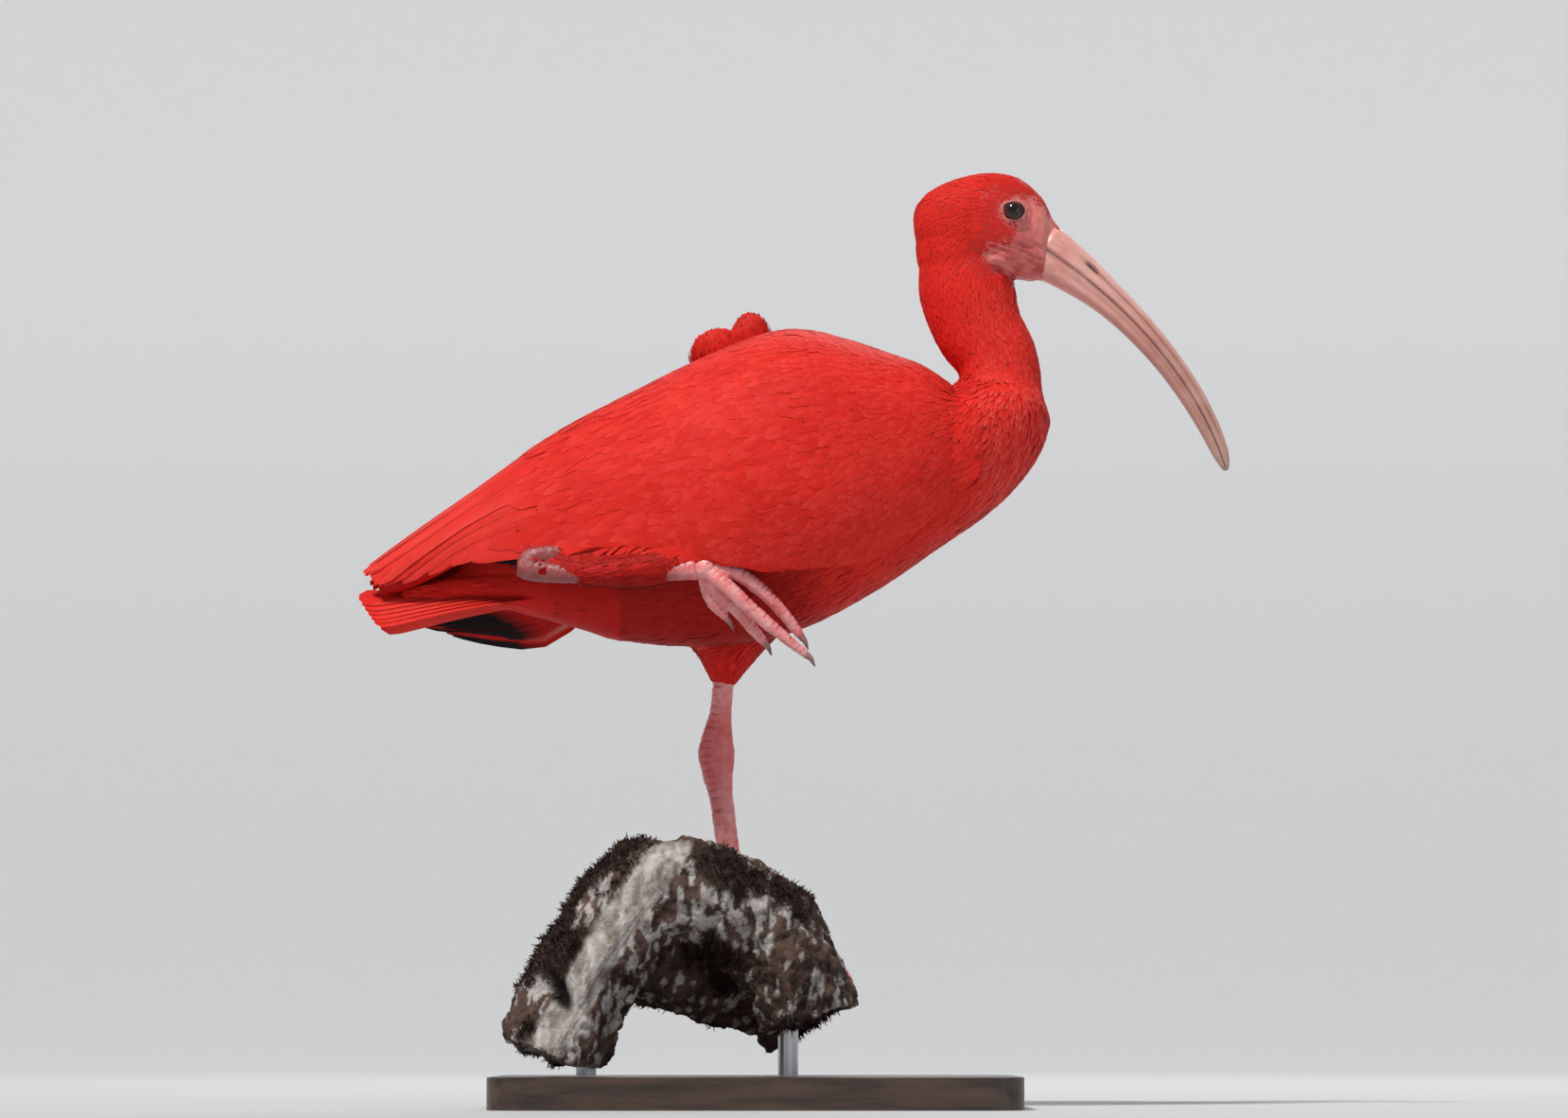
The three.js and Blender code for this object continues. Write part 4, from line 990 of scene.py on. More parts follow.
def plumes(
    roots: Array,
    heading: Array,
    out: Array,
    tree: BVHTree,
    plume: Plume,
    rng: Draws,
    sizes: Array | None = None,
) -> tuple[Shape, Array]:
    """Small feathers rooted on a skin, each a thin closed vane that follows it.

    Args:
        roots: Where they leave the skin.
        heading: The way each lies.
        out: The direction out of the skin at each root.
        tree: The skin.
        plume: Their size.
        rng: The seeded source of their variation.
        sizes: A share of the full length for each, or None.

    Returns:
        The feathers, and how far along each of their points lies, from root to tip.
    """
    count = len(roots)
    size = (1 + rng.normal(0, 0.13, count)) * (1 if sizes is None else sizes)
    length, width = plume.length * size, plume.width * size * (1 + rng.normal(0, 0.1, count))
    turn = rng.normal(0, plume.jitter, count)
    side = unit(np.cross(out, heading))
    heading = unit(heading * np.cos(turn)[:, None] + side * np.sin(turn)[:, None])
    tips = roots + heading * length[:, None]
    gap = np.linalg.norm(nearest(tree, tips)[0] - tips, axis=1)
    length = np.where(gap > 0.35 * length, 0.4 * length, length)
    shares = np.array([0.0, 0.30, 0.66, 0.90, 1.0])
    blunt, sharp = np.array([0.0, 0.80, 1.0, 0.72, 0.0]), np.array([0.0, 0.75, 0.80, 0.42, 0.0])
    widths = lerp(blunt, sharp, plume.pointed)
    droop = rng.normal(1, 0.18, count)
    centres, ups = [], []
    for share in shares:
        line = roots + heading * (length * share)[:, None]
        if share == 0:
            place, up = roots, out
        else:
            found, up = nearest(tree, line)
            far = np.linalg.norm(found - line, axis=1) > 0.6 * length
            place = np.where(far[:, None], line, found)
            up = np.where((up * out).sum(1)[:, None] > 0.1, up, out)
        height = (-0.35 + (plume.raise_tip * droop + 0.35) * share**0.8)[:, None]
        centres.append(place + up * height)
        ups.append(up)
    centres, ups = np.stack(centres, 1), unit(np.stack(ups, 1) + 0.5 * out[:, None])
    along = unit(np.gradient(centres, axis=1))
    across = unit(np.cross(ups, along))
    ups = np.cross(along, across)
    half = (width[:, None] * widths[None] / 2)[..., None]
    thick = plume.thick * np.array([0, 1, 0.9, 0.6, 0])[None, :, None]
    rings = []
    for k in (1, 2, 3):
        middle, left, rise = centres[:, k], across[:, k] * half[:, k], ups[:, k] * thick[:, k]
        rings += [middle - left, middle + rise, middle + left, middle - rise * 0.6]
    points = np.stack([centres[:, 0], *rings, centres[:, 4]], 1)
    sides = [(c, (c + 1) % 4) for c in range(4)]
    quads = [[first + a, first + b, first + 4 + b, first + 4 + a] for first in (1, 5) for a, b in sides]
    tris = [[0, 1 + b, 1 + a] for a, b in sides] + [[13, 9 + a, 9 + b] for a, b in sides]
    share_of = np.repeat(shares, (1, 4, 4, 4, 1))
    side_of = np.array([0, *[-1, 0, 1, 0] * 3, 0.0])
    shape = repeated(points, quads, tris)
    tone = np.repeat(rng.random(count), PLUME_POINTS)
    shape.marks = {
        "tone": tone,
        "along": (length[:, None] * share_of[None]).ravel(),
        "across": (width[:, None] * side_of[None] / 2).ravel(),
        "rim": np.tile([1.0] + [1, 0, 1, 0] * 3 + [1], count),
    }
    return shape, np.tile(share_of, count)


def repeated(points: Array, quads: Rows, tris: Rows) -> Shape:
    """A shape of like members, from points as (member, point, coordinate) and one member's faces."""
    starts = (np.arange(len(points)) * points.shape[1])[:, None, None]
    faces = ((np.array(each)[None] + starts).reshape(-1, len(each[0])) for each in (quads, tris))
    return Shape(points.reshape(-1, 3), *faces)


def laid(heading: Array, normal: Array) -> Array:
    """Directions made to lie along a surface, given the directions out of it."""
    return unit(heading - normal * (heading * normal).sum(1)[:, None])


def patches(centres: Array, count_each: int, rng: Draws) -> Array:
    """The bake patch of each point of like members, which have one small patch each."""
    corner = rng.random((len(centres), count_each, 2)) * BAKE_PATCH
    return (centres[:, None] + corner).reshape(-1, 2)


def scatter(
    shape: Shape, spacing: float, rng: Draws, keep: Callable[[Array], Array]
) -> tuple[Array, Array]:
    """Evenly spread places on a surface.

    Args:
        shape: The surface.
        spacing: The distance between places.
        rng: The seeded source of places.
        keep: Says which of some points are wanted.

    Returns:
        The places and the directions out of the surface there.
    """
    faces = shape.corners
    middle = shape.points[faces].mean(1)
    faces = faces[keep(middle)]
    a, b, c = (shape.points[faces[:, k]] for k in range(3))
    normal = np.cross(b - a, c - a)
    area = np.linalg.norm(normal, axis=1) / 2
    count = int(area.sum() / spacing**2 * 9)
    if not count:
        return np.zeros((0, 3)), np.zeros((0, 3))
    chosen = rng.choice(len(faces), count, p=area / area.sum())
    u, v = rng.random(count), rng.random(count)
    flip = u + v > 1
    u, v = np.where(flip, 1 - u, u), np.where(flip, 1 - v, v)
    places = a[chosen] + (b - a)[chosen] * u[:, None] + (c - a)[chosen] * v[:, None]
    out = unit(normal)[chosen]
    cells = np.floor(places / spacing).astype(int)
    to_middle = np.abs(places / spacing - cells - 0.5).max(1)
    order = np.lexsort((to_middle, cells[:, 2], cells[:, 1], cells[:, 0]))
    _, first = np.unique(cells[order], axis=0, return_index=True)
    kept = order[first]
    kept = kept[to_middle[kept] < 0.46]
    kept = kept[np.argsort(rng.random(len(kept)))]
    return places[kept], out[kept]


@dataclass
class Skin:
    """The bird's one skin: head and neck, body, and legs with their toes."""

    head_voxel: float = 0.65
    body_voxel: float = 2.0
    leg_voxel: float = 0.62
    head: Shape = field(init=False)
    body: Shape = field(init=False)
    legs: Shape = field(init=False)
    scute_groove_shade: Array = field(init=False)

    def standing_toe(self, path: Rows) -> Rows:
        """A standing toe's centre line, laid on the perch."""
        return [(x, y, seat_on_perch(x, y) + TOE_RADII[1] * 0.75) for x, y in path]

    def toe_rows(self, foot: Sequence[float], path: Rows, thickness: float) -> Rows:
        """A toe's rows from the foot to where its claw leaves it."""
        points = [np.array(foot, float), *(np.array(p, float) for p in path)]
        away = unit(points[-1] - points[-2])
        radii = [r * thickness for r in (TOE_RADII[0], *TOE_RADII)]
        rows = [(*p, r, r * 0.92) for p, r in zip(points, radii)]
        rows.append((*(points[-1] + away * 1.2), radii[-1] * 0.62, radii[-1] * 0.58))
        return rows

    def toes(self) -> dict[str, Rows]:
        """The rows of every toe, by the name of its claw."""
        every = {}
        for name, path in STANDING_TOES.items():
            thickness = 0.85 if name == "hind" else 1.0
            laid_path = self.standing_toe(path)
            every[f"claw_left_{name}"] = self.toe_rows(STANDING_FOOT[0], laid_path, thickness)
        for name, path in RAISED_TOES.items():
            thickness = 0.7 if name == "hind" else 0.8
            every[f"claw_right_{name}"] = self.toe_rows(RAISED_FOOT[0], path, thickness)
        return every

    def head_shape(self) -> Shape:
        """The head and the upper neck."""
        head = oval_body(HEAD_ROWS, 60, 64, -0.7)
        c, s = math.cos(HEAD_SLOPE), math.sin(HEAD_SLOPE)
        x, y, z = head.points.T
        head.points = np.stack([x * c + z * s, y, z * c - x * s], 1) + np.array(HEAD_NAPE)
        head.points[:, 1] *= 1 - 0.38 * ramp(head.points[:, 0], 127.5, 132)
        sunk = [(*row[:3], row[3] - sink, row[4] - sink) for row, sink in zip(NECK_ROWS, NECK_SINK)]
        neck = limb(sunk, 60, 56, -1.4)
        return head.join(neck, ball(*NAPE_FILL))

    def build(self) -> None:
        """Makes the three stretches of the skin."""
        self.head = fused(self.head_shape(), self.head_voxel, 18)
        torso = oval_body(TORSO_ROWS, 70, 64, -3.2)
        neck = limb(NECK_ROWS, 40, 40, -2.8)
        covered = (STANDING_THIGH, RAISED_THIGH, FLANK_MUFF, SHIN_MUFF, UNDERTAIL)
        covers = [limb(rows, 30, 28, -0.8) for rows in covered]
        self.body = fused(torso.join(neck, *covers), self.body_voxel, 12)
        legs = [limb(rows, 90, 32) for rows in (STANDING_LEG, RAISED_SHIN, RAISED_SHANK)]
        legs += [ball(*STANDING_FOOT), ball(*RAISED_HOCK), ball(*RAISED_FOOT)]
        legs += [limb(rows, 40, 24) for rows in self.toes().values()]
        self.legs = fused(legs[0].join(*legs[1:]), self.leg_voxel, 5)
        self.shape_face()
        self.shape_legs()
        self.colour()

    def bare(self, points: Array) -> Array:
        """How far each point belongs to the bare skin of the face."""
        return inside(BARE_FACE, points[:, 0], points[:, 2] + 1.1 * np.sin(points[:, 0] * 0.9), 2.6)

    def shape_face(self) -> None:
        """Works folds and wrinkles into the bare skin of the face, and a hollow round each eye."""
        points, out = self.head.points, normals_of(self.head)
        bare = self.bare(points)
        x, _, z = points.T
        back, low = x - 106.5, z - 374.0
        fold = 1.3 * bell(np.hypot(back * 0.94 + low * 0.30, (low * 0.94 - back * 0.30) * 3.4), 8.5, 4)
        under = -0.9 * bell(z - 370.2 + (x - 106) * 0.28, 1.2) * ramp(x, 96, 101) * ramp(x, 128, 120)
        mouth = -0.8 * bell(z - 381.0 + (x - 118) * 0.16, 0.9) * ramp(x, 112, 117)
        gape = z - 376 + (x - 118) * 0.35
        wrinkles = 0.30 * np.sin(gape * 2.2 + 1.6 * ripple(points, 7, 2))
        wrinkles = wrinkles * ramp(x, 100, 108) * ramp(z, 386, 380)
        near_eye = np.sqrt((x - EYE[0]) ** 2 + (z - EYE[2]) ** 2)
        rings = 0.22 * np.sin(near_eye * 2.6) * ramp(near_eye, 12, 7)
        hollow = -bell(near_eye - 8.4, 2.4) * (x > 112)
        small = 0.16 * ripple(points, 2.6, 3, 4.0)
        relief = (fold + under + mouth + wrinkles + rings + small) * bare + hollow * bare * 0.7
        self.head.points = points + out * (relief * ramp(x, 131, 125))[:, None]

    def shape_legs(self) -> None:
        """Raises scutes down the front of the legs and over the toes, with pads and creases."""
        points, out = self.legs.points, normals_of(self.legs)
        relief = np.zeros(len(points))
        front = np.zeros(len(points))
        best = np.full(len(points), np.inf)
        lines = [np.array(r)[:, :3] for r in (STANDING_LEG, RAISED_SHIN, RAISED_SHANK)]
        lines += [np.array(rows)[:, :3] for rows in self.toes().values()]
        for number, line in enumerate(lines):
            dense = Path(line)(np.linspace(0, 1, 160))
            reach = np.concatenate([[0], np.cumsum(np.linalg.norm(np.diff(dense, axis=0), axis=1))])
            heading = unit(np.gradient(dense, axis=0))
            gaps = gaps_to(dense, points)
            i = gaps.argmin(1)
            gap = gaps[np.arange(len(points)), i]
            mine = gap < best
            best = np.where(mine, gap, best)
            toe = number > 2
            ahead = unit(np.cross(heading[i], [0.0, 1.0, 0.0])) * (-1 if number == 0 else 1)
            facing = (out * ahead).sum(1)
            pitch = 2.5 if toe else 3.1
            along = reach[i] / pitch + 0.07 * np.sin(number + reach[i])
            groove = -0.44 * np.exp(-(((along % 1) - 0.5) ** 2) / 0.010)
            scute = 0.22 + groove if toe else 0.16 + groove
            relief = np.where(mine, scute * ramp(facing, -0.2, 0.5), relief)
            front = np.where(mine, facing, front)
        # How deep each point lies in a groove between scutes, for the painted shade there.
        self.scute_groove_shade = ramp(-relief, 0.0, 0.2)
        small = 0.24 * ripple(points, 1.9, 2, 9.0) * ramp(front, 0.4, -0.3)
        swell = 0.25 * ripple(points, 9, 2, 2.0)
        self.legs.points = points + out * (relief + small + swell)[:, None]

    def colour(self) -> None:
        """Gives the skin its markings, the same as the coat's over it, with painted shade on the
        drawn-up leg and in the grooves between the scutes.
        """
        for shape in (self.head, self.body):
            bare = self.bare(shape.points)
            red = blend(CRIMSON, DEEP_SCARLET, 0.5 + 0.5 * ripple(shape.points, 9, 2))
            x, _, z = shape.points.T
            dusk = np.clip(0.45 + 0.55 * ripple(shape.points, 4.2, 3, 7.0), 0, 1)
            face = blend(BARE_ROSE, BARE_DUSK, dusk * ramp(z, 392, 374) + 0.25 * dusk)
            face = blend(face, (0.80, 0.30, 0.26), ramp(x, 120, 131) * ramp(z, 372, 380) * 0.6)
            strip = bell(z - 374.0 + (x - 106.5) * 0.30, 1.5) * ramp(x, 97, 101) * ramp(x, 118, 112)
            face = blend(face, (0.78, 0.25, 0.23), strip * 0.75)
            shape.tint = blend(red, face, bare)
        _, y, z = self.legs.points.T
        knobs = np.clip(0.5 + ripple(self.legs.points, 6, 3, 3.0), 0, 1)
        pale = blend(LEG_PINK, LEG_PALE, knobs * 0.8)
        hock = blend(pale, (0.72, 0.09, 0.085), 0.6 * ramp(z, 182, 166) * ramp(z, 132, 150))
        # Painted shade: the drawn-up leg, tucked under the wing, is darkened.
        drawn_up = (y < 0) * ramp(self.legs.points[:, 0], -24, -44)
        shaded = blend(hock, LEG_SHADE, 0.85 * drawn_up)
        # Painted shade: the grooves between the scutes are tinted a darker red.
        self.legs.tint = blend(shaded, (0.50, 0.055, 0.055), 0.7 * self.scute_groove_shade)

    def dress(self) -> None:
        """Adds the skin to the scene in place of the nodes of flesh."""
        flesh = ["head", "neck_upper", "neck_lower", "torso"]
        flesh += [f"{part}_{side}" for part in ("thigh", "shin", "shank") for side in ("left", "right")]
        flesh += [f"toe_{side}_{name}" for side in ("left", "right") for name in STANDING_TOES]
        add_piece("skin", self.head.join(self.body, self.legs), SKIN, flesh)


@dataclass
class Coat:
    """The small feathers of the head, neck, body and thighs."""

    skin: Skin
    chart: "WingChart"
    seed: int = SEED
    most: int = 8000

    def zone_of(self, points: Array) -> dict[Zone, Array]:
        """Which points each zone of the coat holds."""
        x, y, z = points.T
        sparse = 0.5 + 0.5 * np.sin(points @ np.array([37.1, 53.7, 91.3]))
        bare = inside(BARE_FACE, x, z + 1.1 * np.sin(x * 0.9), 3.4) > 0.22 + 0.70 * sparse
        left_thigh = (z < 224) & (z > 186) & (x > -46) & (x < 24) & (y > 2)
        near_raised = (y < -28) & (np.hypot(y + 41, z - 248 - x * 0.07) < 15)
        thigh = left_thigh | (near_raised & (z < 262) & (z > 238) & (x > -82) & (x < 34))
        head = (z > 361 + 9 * sparse) & (x < 132) & ~bare
        face = head & (inside(BARE_FACE, x, z, 9.0) > 0.06)
        neck = (z > 317 + 9 * sparse) & (z <= 361 + 9 * sparse) & ~bare & (x > 62)
        breast = (z <= 317 + 9 * sparse) & (x > 62) & ~thigh
        belly = (x <= 62) & (z < 262) & ~thigh & (z > 186)
        body = (x <= 62) & (z >= 262) & ~thigh
        return {
            Zone.FACE: face,
            Zone.HEAD: head & ~face,
            Zone.NECK: neck,
            Zone.BREAST: breast,
            Zone.BODY: body,
            Zone.BELLY: belly,
            Zone.THIGH: thigh,
        }

    def hidden(self, points: Array) -> Array:
        """Which points lie deep under a folded wing, where no feather would show."""
        share = self.chart.share_at(points)
        front = np.interp(share, [0.0, 0.35, 1.0], [44, 66, 52])
        return (points[:, 0] < front) & (points[:, 0] > -128) & (share < 0.86)

    def tints(self, zone: Zone, shape: Shape, share: Array) -> Array:
        """The colour of each point of a zone's feathers, with painted shade at their roots, under the
        belly and on the near thigh.
        """
        tone = shape.marks["tone"]
        x, y, z = shape.points.T
        base = reds(0.5 + 0.5 * tone)
        # Painted shade: each feather darkens towards its root, where the feathers over it shade it.
        base = blend(CRIMSON, base, ramp(share, -0.5, 0.4))
        if zone in (Zone.NECK, Zone.BREAST):
            pale = ramp(share, 0.55, 1.0) * (0.25 + 0.75 * tone**2)
            strength = 0.80 if zone is Zone.BREAST else 0.55
            base = blend(base, ROSE, pale * strength * ramp(x, 86, 104))
            flecks = (tone * 7919 % 1) < 0.10
            base = blend(base, (0.20, 0.012, 0.010), flecks * 0.4 * ramp(share, 0.9, 0.3))
        if zone in (Zone.HEAD, Zone.FACE):
            base = blend(base, (0.62, 0.03, 0.022), 0.35 * (1 - tone))
            base = blend(base, (0.42, 0.020, 0.018), 0.5 * inside(BARE_FACE, x, z, 3.0))
        if zone in (Zone.BELLY, Zone.THIGH):
            base = blend(base, CRIMSON, 0.35 * (1 - tone))
            belly = zone is Zone.BELLY
            # Painted shade: the lower belly and the thigh by the drawn-up leg darken, as if in the
            # wing's shadow.
            under = ramp(z, 246, 226) * ramp(x, 40, 10) if belly else ramp(y, -20, -28)
            base = blend(base, PAINTED_UNDER_SHADE, 0.6 * under)
        return base

    def dress(self) -> None:
        """Adds every zone's feathers to the scene, in pieces of a fair size."""
        head = outer_faces(self.skin.head, surface_of(self.skin.body))
        whole = head.join(outer_faces(self.skin.body, surface_of(self.skin.head)))
        tree = surface_of(whole)
        unwrap = BodyMap()
        nodes = {
            Zone.FACE: ["head"],
            Zone.HEAD: ["head"],
            Zone.NECK: ["neck_upper"],
            Zone.BREAST: ["neck_lower", "torso"],
            Zone.BODY: ["torso"],
            Zone.BELLY: ["torso"],
            Zone.THIGH: ["thigh_left", "thigh_right"],
        }
        for number, (zone, plume) in enumerate(PLUMES.items()):
            rng = np.random.default_rng(self.seed + number)
            source = head if zone in (Zone.FACE, Zone.HEAD) else whole

            def wanted(points: Array, zone: Zone = zone) -> Array:
                """The points of this zone that show."""
                return self.zone_of(points)[zone] & ~self.hidden(points)

            spots, _ = scatter(source, plume.spacing, rng, wanted)
            x, y, z = spots.T
            _, normal = nearest(tree, spots)
            spread = 9.0 if zone in (Zone.FACE, Zone.HEAD) else 16.0
            heading = unwrap.flow(spots, spread)
            if zone in (Zone.THIGH, Zone.BELLY):
                down = np.clip((232 - z) / 30, 0, 1)[:, None] * (y > -20)[:, None]
                near_leg = bell(x + 13, 34)[:, None]
                hanging = np.array([-0.15, 0, -1.0]) * down * near_leg
                heading = unit(heading * (1 - 0.9 * down * near_leg) + hanging)
            heading = laid(heading, normal)
            breast_sizes = lerp(0.72, 1.15, ramp(x, 125, 70) * ramp(z, 322, 290))
            sizes = breast_sizes if zone is Zone.BREAST else None
            made, share = plumes(spots, heading, normal, tree, plume, rng, sizes)
            made.tint = self.tints(zone, made, share)
            made.patch = patches(unwrap.patch(spots), PLUME_POINTS, rng)
            pieces = max(1, math.ceil(len(spots) / self.most))
            cuts = np.linspace(0, len(spots), pieces + 1).astype(int)
            for index, (first, last) in enumerate(zip(cuts[:-1], cuts[1:])):
                part = made.part(first, last, PLUME_POINTS, PLUME_QUADS, PLUME_TRIS)
                add_piece(f"coat_{zone.value}_{index + 1}", part, BODY_PLUMAGE, nodes[zone])


# Wings and tail


class WingChart:
    """Places on a folded wing: x, the share of the way from its upper edge to its lower, and a lift."""

    def __init__(self) -> None:
        """Reads the wing's sections and its lower edge."""
        self.rows, self.edge = Profile(WING_ROWS), Profile(WING_EDGE)

    def span(self, x: Array) -> tuple[Array, Array, Array]:
        """The section at each x, and the angles of the wing's upper and lower edge."""
        row, edge = self.rows(x), self.edge(x)
        start = np.arcsin(np.clip(edge[..., 1] / row[..., 1], 0, 0.999) ** (ROUNDNESS / 2))
        rise = edge[..., 0] - row[..., 0]
        c = np.clip(rise / np.where(rise > 0, row[..., 2], row[..., 3]), -0.98, 0.98)
        return row, start, np.arccos(np.sign(c) * np.abs(c) ** (ROUNDNESS / 2))

    def __call__(
        self, x: Array, share: Array, lift: Array | float, side: int = 1, over: float = 0.0
    ) -> Array:
        """The points at places on the chart.

        Args:
            x: How far forward each place lies.
            share: Its share of the way down the wing.
            lift: How far it stands off the wing.
            side: The side of the bird, as the sign of Y.
            over: The share above the upper edge that reaches the middle, or 0 to stop there.

        Returns:
            The points.
        """
        row, start, end = self.span(x)
        angle = np.maximum(lerp(start, end, share), start)
        if over:
            angle = np.where(share < 0, start * (1 + share / over), angle)
        y, z = oval(row, angle, lift)
        y = side * np.maximum(y, 0.0 if over else 0.5)
        return np.stack([np.broadcast_to(x, y.shape), y, z], -1)

    def arc(self, x: Array | float) -> Array:
        """The length of one unit of share at each x."""
        row, start, end = self.span(np.asarray(x, float))
        return (end - start) * (row[..., 1] + row[..., 2]) / 2

    def share_at(self, points: Array) -> Array:
        """The share of the way down the wing nearest to each point."""
        row, start, end = self.span(points[:, 0])
        rise = points[:, 2] - row[:, 0]
        reach = np.where(rise > 0, row[:, 2], row[:, 3])
        angle = np.arctan2(np.abs(points[:, 1]) / row[:, 1], rise / reach)
        return (angle - start) / (end - start)


@dataclass(frozen=True)
class Tier:
    """One row of feathers on a folded wing, between its first, nearest the back, and its last."""

    name: str
    count: int
    root: tuple[tuple[float, float], tuple[float, float]]
    tip: tuple[tuple[float, float], tuple[float, float]]
    width: tuple[float, float]
    sunk: float
    raise_top: float = 0.0
    apart: float = 0.42
    thick: float = 0.28
    pointed: float = 0.3
    bend: float = 1.0


TIERS = (
    Tier("primaries", 8, ((-34, 0.84), (-18, 1.00)), ((-124, 0.96), (-108, 1.09)),
         (12, 10), 1.0, -2.6, 0.4, 0.3, 0.75),
    Tier("secondaries", 18, ((-40, 0.05), (4, 0.86)), ((-173, 0.12), (-124, 1.00)),
         (18, 15), 2.6, 0.0, 0.36, 0.3, 0.12, 4.0),
    Tier("greater_coverts", 15, ((-10, 0.30), (38, 0.92)), ((-72, 0.36), (-26, 0.98)),
         (15, 12.5), 2.2, 0.0, 0.30, 0.28, 0.3),
    Tier("median_coverts", 14, ((16, 0.30), (52, 0.92)), ((-40, 0.36), (2, 0.97)),
         (13.5, 11.5), 2.2, 0.1, 0.28, 0.26, 0.3),
    Tier("scapulars_1", 11, ((16, 0.03), (20, 0.42)), ((-92, 0.05), (-62, 0.46)),
         (16, 14), 2.6, 0.25, 0.4, 0.3, 0.5),
    Tier("scapulars_2", 11, ((36, 0.03), (40, 0.40)), ((-44, 0.05), (-26, 0.44)),
         (15, 13), 2.4, 0.45, 0.4, 0.3, 0.45),
)


@dataclass
class Wings:
    """Both folded wings: an underlay, and every tier of feathers over it."""

    chart: WingChart
    stations: int = 12
    columns: int = 5
    hang_from: float = -44.0
    hang_to: float = -104.0
    hang_to_height: float = 215.0
    hang_out: float = 8.0
    hang_back: float = 30.0
    # Share of a feather's length, share of its full width.
    outline: Pairs = (
        (0, 0.42), (0.12, 0.72), (0.35, 0.95), (0.62, 1.0), (0.84, 0.9), (0.94, 0.72), (0.985, 0.46),
        (1, 0.2),
    )
    # x, height of the coat over the wing's surface.
    coat: Pairs = (
        (-180, 1.6), (-151, 3.4), (-126, 3.4), (-84, 3.8), (-42, 5.0), (-10, 7.6), (10, 8.0), (42, 6.2),
        (60, 3.4), (75, 1.4), (88, -0.9), (98, -3.6),
    )
    # Soft feathers over the wing, and the x they start and end at.
    mantle: tuple[tuple[Plume, float, float], ...] = (
        (Plume(14, 3.2, 1.75, 0.10, 0.26, 0.13, 0.4), 99, 42),
        (Plume(24, 4.8, 2.5, 0.11, 0.36, 0.12, 0.5), 46, -24),
        (Plume(31, 5.6, 4.2, 0.11, 0.34, 0.10, 0.6), -16, -76),
    )

    def top(self, x: Array, share: Array) -> Array:
        """How far the outermost feathers stand over the chart at a place."""
        height = Profile(self.coat)(x)[..., 0]
        return height * lerp(1.0, 0.72, ramp(share, 0.72, 1.0))

    def tier(self, tier: Tier, side: Side, rng: Draws) -> tuple[Shape, Array]:
        """One tier's feathers on one wing.

        Args:
            tier: The tier.
            side: The wing.
            rng: The seeded source of variation.

        Returns:
            The feathers, and how far along its feather each point lies.
        """
        hanging = tier.name == "primaries" and side is Side.LEFT
        count = tier.count
        f = np.linspace(0, 1, count)[:, None, None]
        wobble = lambda size: rng.normal(0, size, count)[:, None, None]
        root_x, root_v, tip_x, tip_v = self.ends(tier, f)
        tip_x, tip_v = tip_x + wobble(0.9), tip_v + wobble(0.006)
        if hanging:
            tip_x = tip_x - self.hang_back
        width = lerp(tier.width[0], tier.width[1], f) * (1 + wobble(0.04))
        s = 1 - (1 - np.linspace(0, 1, self.stations)) ** 1.35
        outline = (Profile(self.outline)(s)[:, 0] * (1 - tier.pointed * 0.45 * s))[:, None]
        s = s[:, None]
        sideways = np.linspace(-1, 1, self.columns)
        arc = self.chart.arc((root_x + tip_x) / 2)
        run_x, run_v = tip_x - root_x, (tip_v - root_v) * arc
        length = np.hypot(run_x, run_v)
        across_x, across_v = -run_v / length, run_x / length
        reach = (width / 2) * outline * sideways
        curl = (wobble(0.6) + 0.8) * s**2
        u = lerp(root_x, tip_x, s) + across_x * reach
        v = lerp(root_v, tip_v, s) + (across_v * reach + curl) / arc
        rank = (self.fan_share(tier, u, v) - f) * (count - 1)
        lean = tier.apart * np.clip(rank, -2.6, 2.6)
        loose = wobble(0.25) * ramp(s, 0.5, 1.0)
        lift = self.top(u, v) + tier.raise_top - tier.sunk * (1 - ramp(s, 0.0, 0.5)) + lean + loose
        lift = lift - 0.35 * sideways**2
        thick = tier.thick * (1 - 0.75 * np.abs(sideways) ** 3) * (1 - 0.5 * s)
        shaft = np.where(np.abs(sideways) < 0.01, 0.16, 0.0) * (1 - s)
        under = self.chart(u, v, lift - thick / 2, side.value)
        over = self.chart(u, v, lift + thick / 2 + shaft, side.value)
        corners = np.stack([under, over], 3)
        if hanging:
            hung = ramp(-u, -self.hang_from, -self.hang_to)[..., None]
            drop = hung * (self.hang_to_height - self.chart.edge(u)[..., :1])
            corners = corners + np.stack([0 * hung, self.hang_out * hung, drop], -1)
        shape = slabs(corners)
        full = corners.shape[:-1]
        spread = lambda values: np.broadcast_to(values[..., None], full).ravel()
        tone = np.repeat(rng.random(count), math.prod(full[1:]))
        shape.marks |= {"tone": tone, "along": spread(length * s), "across": spread(reach)}
        return shape, spread(s)

    def ends(self, tier: Tier, f: Array) -> tuple[Array, Array, Array, Array]:
        """Root and tip of the feather at each share f of the way through a fan."""
        bent = np.sign(f) * np.abs(f) ** tier.bend
        (root_a, root_b), (tip_a, tip_b) = tier.root, tier.tip
        root = (lerp(root_a[0], root_b[0], f), lerp(root_a[1], root_b[1], f))
        return *root, lerp(tip_a[0], tip_b[0], bent), lerp(tip_a[1], tip_b[1], f)

    def fan_share(self, tier: Tier, u: Array, v: Array) -> Array:
        """The share f of the way through a fan whose feather passes over each place."""
        low, high = np.full(u.shape, -0.6), np.full(u.shape, 1.25)
        for _ in range(20):
            f = (low + high) / 2
            start_x, start_v, end_x, end_v = self.ends(tier, f)
            line = lerp(start_v, end_v, (u - start_x) / (end_x - start_x))
            low, high = np.where(line < v, f, low), np.where(line < v, high, f)
        return (low + high) / 2

